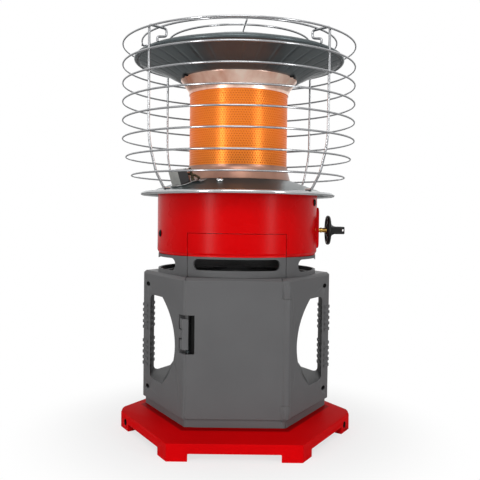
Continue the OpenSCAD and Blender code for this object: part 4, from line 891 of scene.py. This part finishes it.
# an upright's foot lies on the deck's rim; it leans out to its bend, stands, and hooks over onto the dish's rim
bm = bmesh.new()
for i in range(4):
    path = [(113.3, Z_RIM + 6.6), (121.8, Z_RIM + 6.6), (post_r_at(hoops[-1]), hoops[-1]), (POST_R, Z_BEND),
            (POST_R, z_post_top), (120, z_post_top), (120, 482.4), (133.2, 479.4), (133.2, 474.6)]
    pts = [polar(45 + 90 * i, r, z) for r, z in path]
    tube_into(bm, rounded(pts, [3.2, 5, 26, 3.6, 3.4, 3.2, 3.0]), POST_WIRE_R, 14)
guard_part("uprights", bm, "guard_uprights")

bm = bmesh.new()
for i in range(4):
    path = [(r_outer + 0.2, z_outer), (r_inner, z_outer + rise * (r_outer - r_inner)), (r_tip, z_tip)]
    tube_into(bm, [polar(3.6 + 90 * i, r, z) for r, z in path], WIRE_R, 12)
guard_part("radials", bm, "guard_radials")


# ---------------------------------------------------------------- pilot group

from_pilot = on_deck(PILOT_AZ, PILOT_R).inverted()
dressed("pilot_bracket", "heater", M_ZINC, 0.25, "pilot_plate", 2)
# the hood's faces on one side get the darker grey: painted shade
retone(dressed("pilot_shield", "heater", M_HOOD, 0.3, "pilot_hood", 2),
       lambda c: (from_pilot @ (c * MM)).y > 6.0 * MM, M_SHADE_GREY)
bm = bmesh.new()
tube_into(bm, rounded([(-63.5, -56.0, 325.2), (-53.5, -61.0, 324.6), (-46.2, -57.6, 320.5)], [5]), 1.4, 12)
put(solid("pilot_crossover", bm, M_COPPER, angle=60), "heater", None)


# ---------------------------------------------------------------- floor, lights, camera

WHITE_FROM_M, WHITE_FULL_M = 0.12, 0.30    # distances from the axis over which the floor goes over to white
HORIZON, ZENITH = 0.42, 0.10               # strength of the world's soft light


def floor_material():
    """Pale floor that goes over to the white background away from the object."""
    m = bpy.data.materials.new("floor")
    m.use_nodes = True
    tree = Tree(m.node_tree)
    far = tree.add("VectorMath", {0: tree.position()}, operation="LENGTH").outputs["Value"]
    white = tree.calc("MULTIPLY", tree.add("LightPath").outputs["Is Camera Ray"],
                      tree.span(far, WHITE_FROM_M, WHITE_FULL_M, 0.7, 1.0, smooth=True))
    pale = tree.add("BsdfDiffuse", {"Color": (0.96, 0.96, 0.96, 1)}).outputs[0]
    glow = tree.add("Emission", {"Color": WHITE}).outputs[0]
    tree.add("OutputMaterial", {"Surface": tree.add("MixShader", {0: white, 1: pale, 2: glow}).outputs[0]})
    return m


bm = bmesh.new()
bmesh.ops.create_grid(bm, x_segments=1, y_segments=1, size=6)
floor = new_object("floor", bm, floor_material(), smooth=False)

# the world is white to the camera and in reflections, and lights the object softly, most from the horizon
world = bpy.data.worlds.new("studio")
bpy.context.scene.world = world
world.use_nodes = True
tree = Tree(world.node_tree)
ray = tree.add("LightPath").outputs
direct = tree.calc("MAXIMUM", tree.calc("MAXIMUM", ray["Is Camera Ray"], ray["Is Glossy Ray"]),
                   ray["Is Transmission Ray"])
height = tree.add("SeparateXYZ", {0: tree.add("TexCoord").outputs["Generated"]}).outputs["Z"]
lit = tree.add("Background", {"Color": WHITE, "Strength": tree.span(height, 0.0, 0.8, HORIZON, ZENITH)}).outputs[0]
seen = tree.add("Background", {"Color": WHITE, "Strength": 1.0}).outputs[0]
tree.add("OutputWorld", {"Surface": tree.add("MixShader", {0: direct, 1: lit, 2: seen}).outputs[0]})


def area(name, az, dist, height, size, power):
    """Soft box at an azimuth from the front, aimed at the middle of the object."""
    ld = bpy.data.lights.new(name, "AREA")
    ld.shape = "RECTANGLE"
    ld.size, ld.size_y = size
    ld.energy = power
    ob = bpy.data.objects.new(name, ld)
    bpy.context.scene.collection.objects.link(ob)
    a = math.radians(az - 90)
    ob.location = (dist * math.cos(a), dist * math.sin(a), height)
    ob.rotation_euler = (Vector((0, 0, 0.25)) - ob.location).to_track_quat("-Z", "Y").to_euler()


area("strip_left", -37, 1.5, 0.28, (0.22, 0.9), 8.0)
area("strip_right", 46, 1.5, 0.28, (0.22, 0.9), 6.2)
area("front_soft", 0, 1.4, 1.35, (0.9, 0.6), 10)
area("top_soft", 0, 0.2, 1.9, (1.4, 1.4), 2.2)
area("back_soft", 180, 1.6, 1.0, (1.6, 1.2), 4)

# the camera, fitted to the photograph
PHOTO_PX, FOCAL_PX, SHIFT_PX = 480, 668.33, 2.94
SENSOR_MM = 36.0
CAM_PLACE = (0, -0.8688, 0.2742)
TILT, ROLL = 0.035, 0.012    # radians
cam_d = bpy.data.cameras.new("camera")
cam = bpy.data.objects.new("camera", cam_d)
bpy.context.scene.collection.objects.link(cam)
cam_d.sensor_width = SENSOR_MM
cam_d.sensor_fit = "HORIZONTAL"
cam_d.lens = FOCAL_PX / PHOTO_PX * SENSOR_MM
cam_d.shift_x = SHIFT_PX / PHOTO_PX
cam_d.clip_start = 0.01
cam.matrix_world = (Matrix.Translation(CAM_PLACE) @ Matrix.Rotation(math.radians(90) - TILT, 4, "X")
                    @ Matrix.Rotation(ROLL, 4, "Z"))
bpy.context.scene.camera = cam
bpy.context.scene.view_settings.view_transform = "Standard"
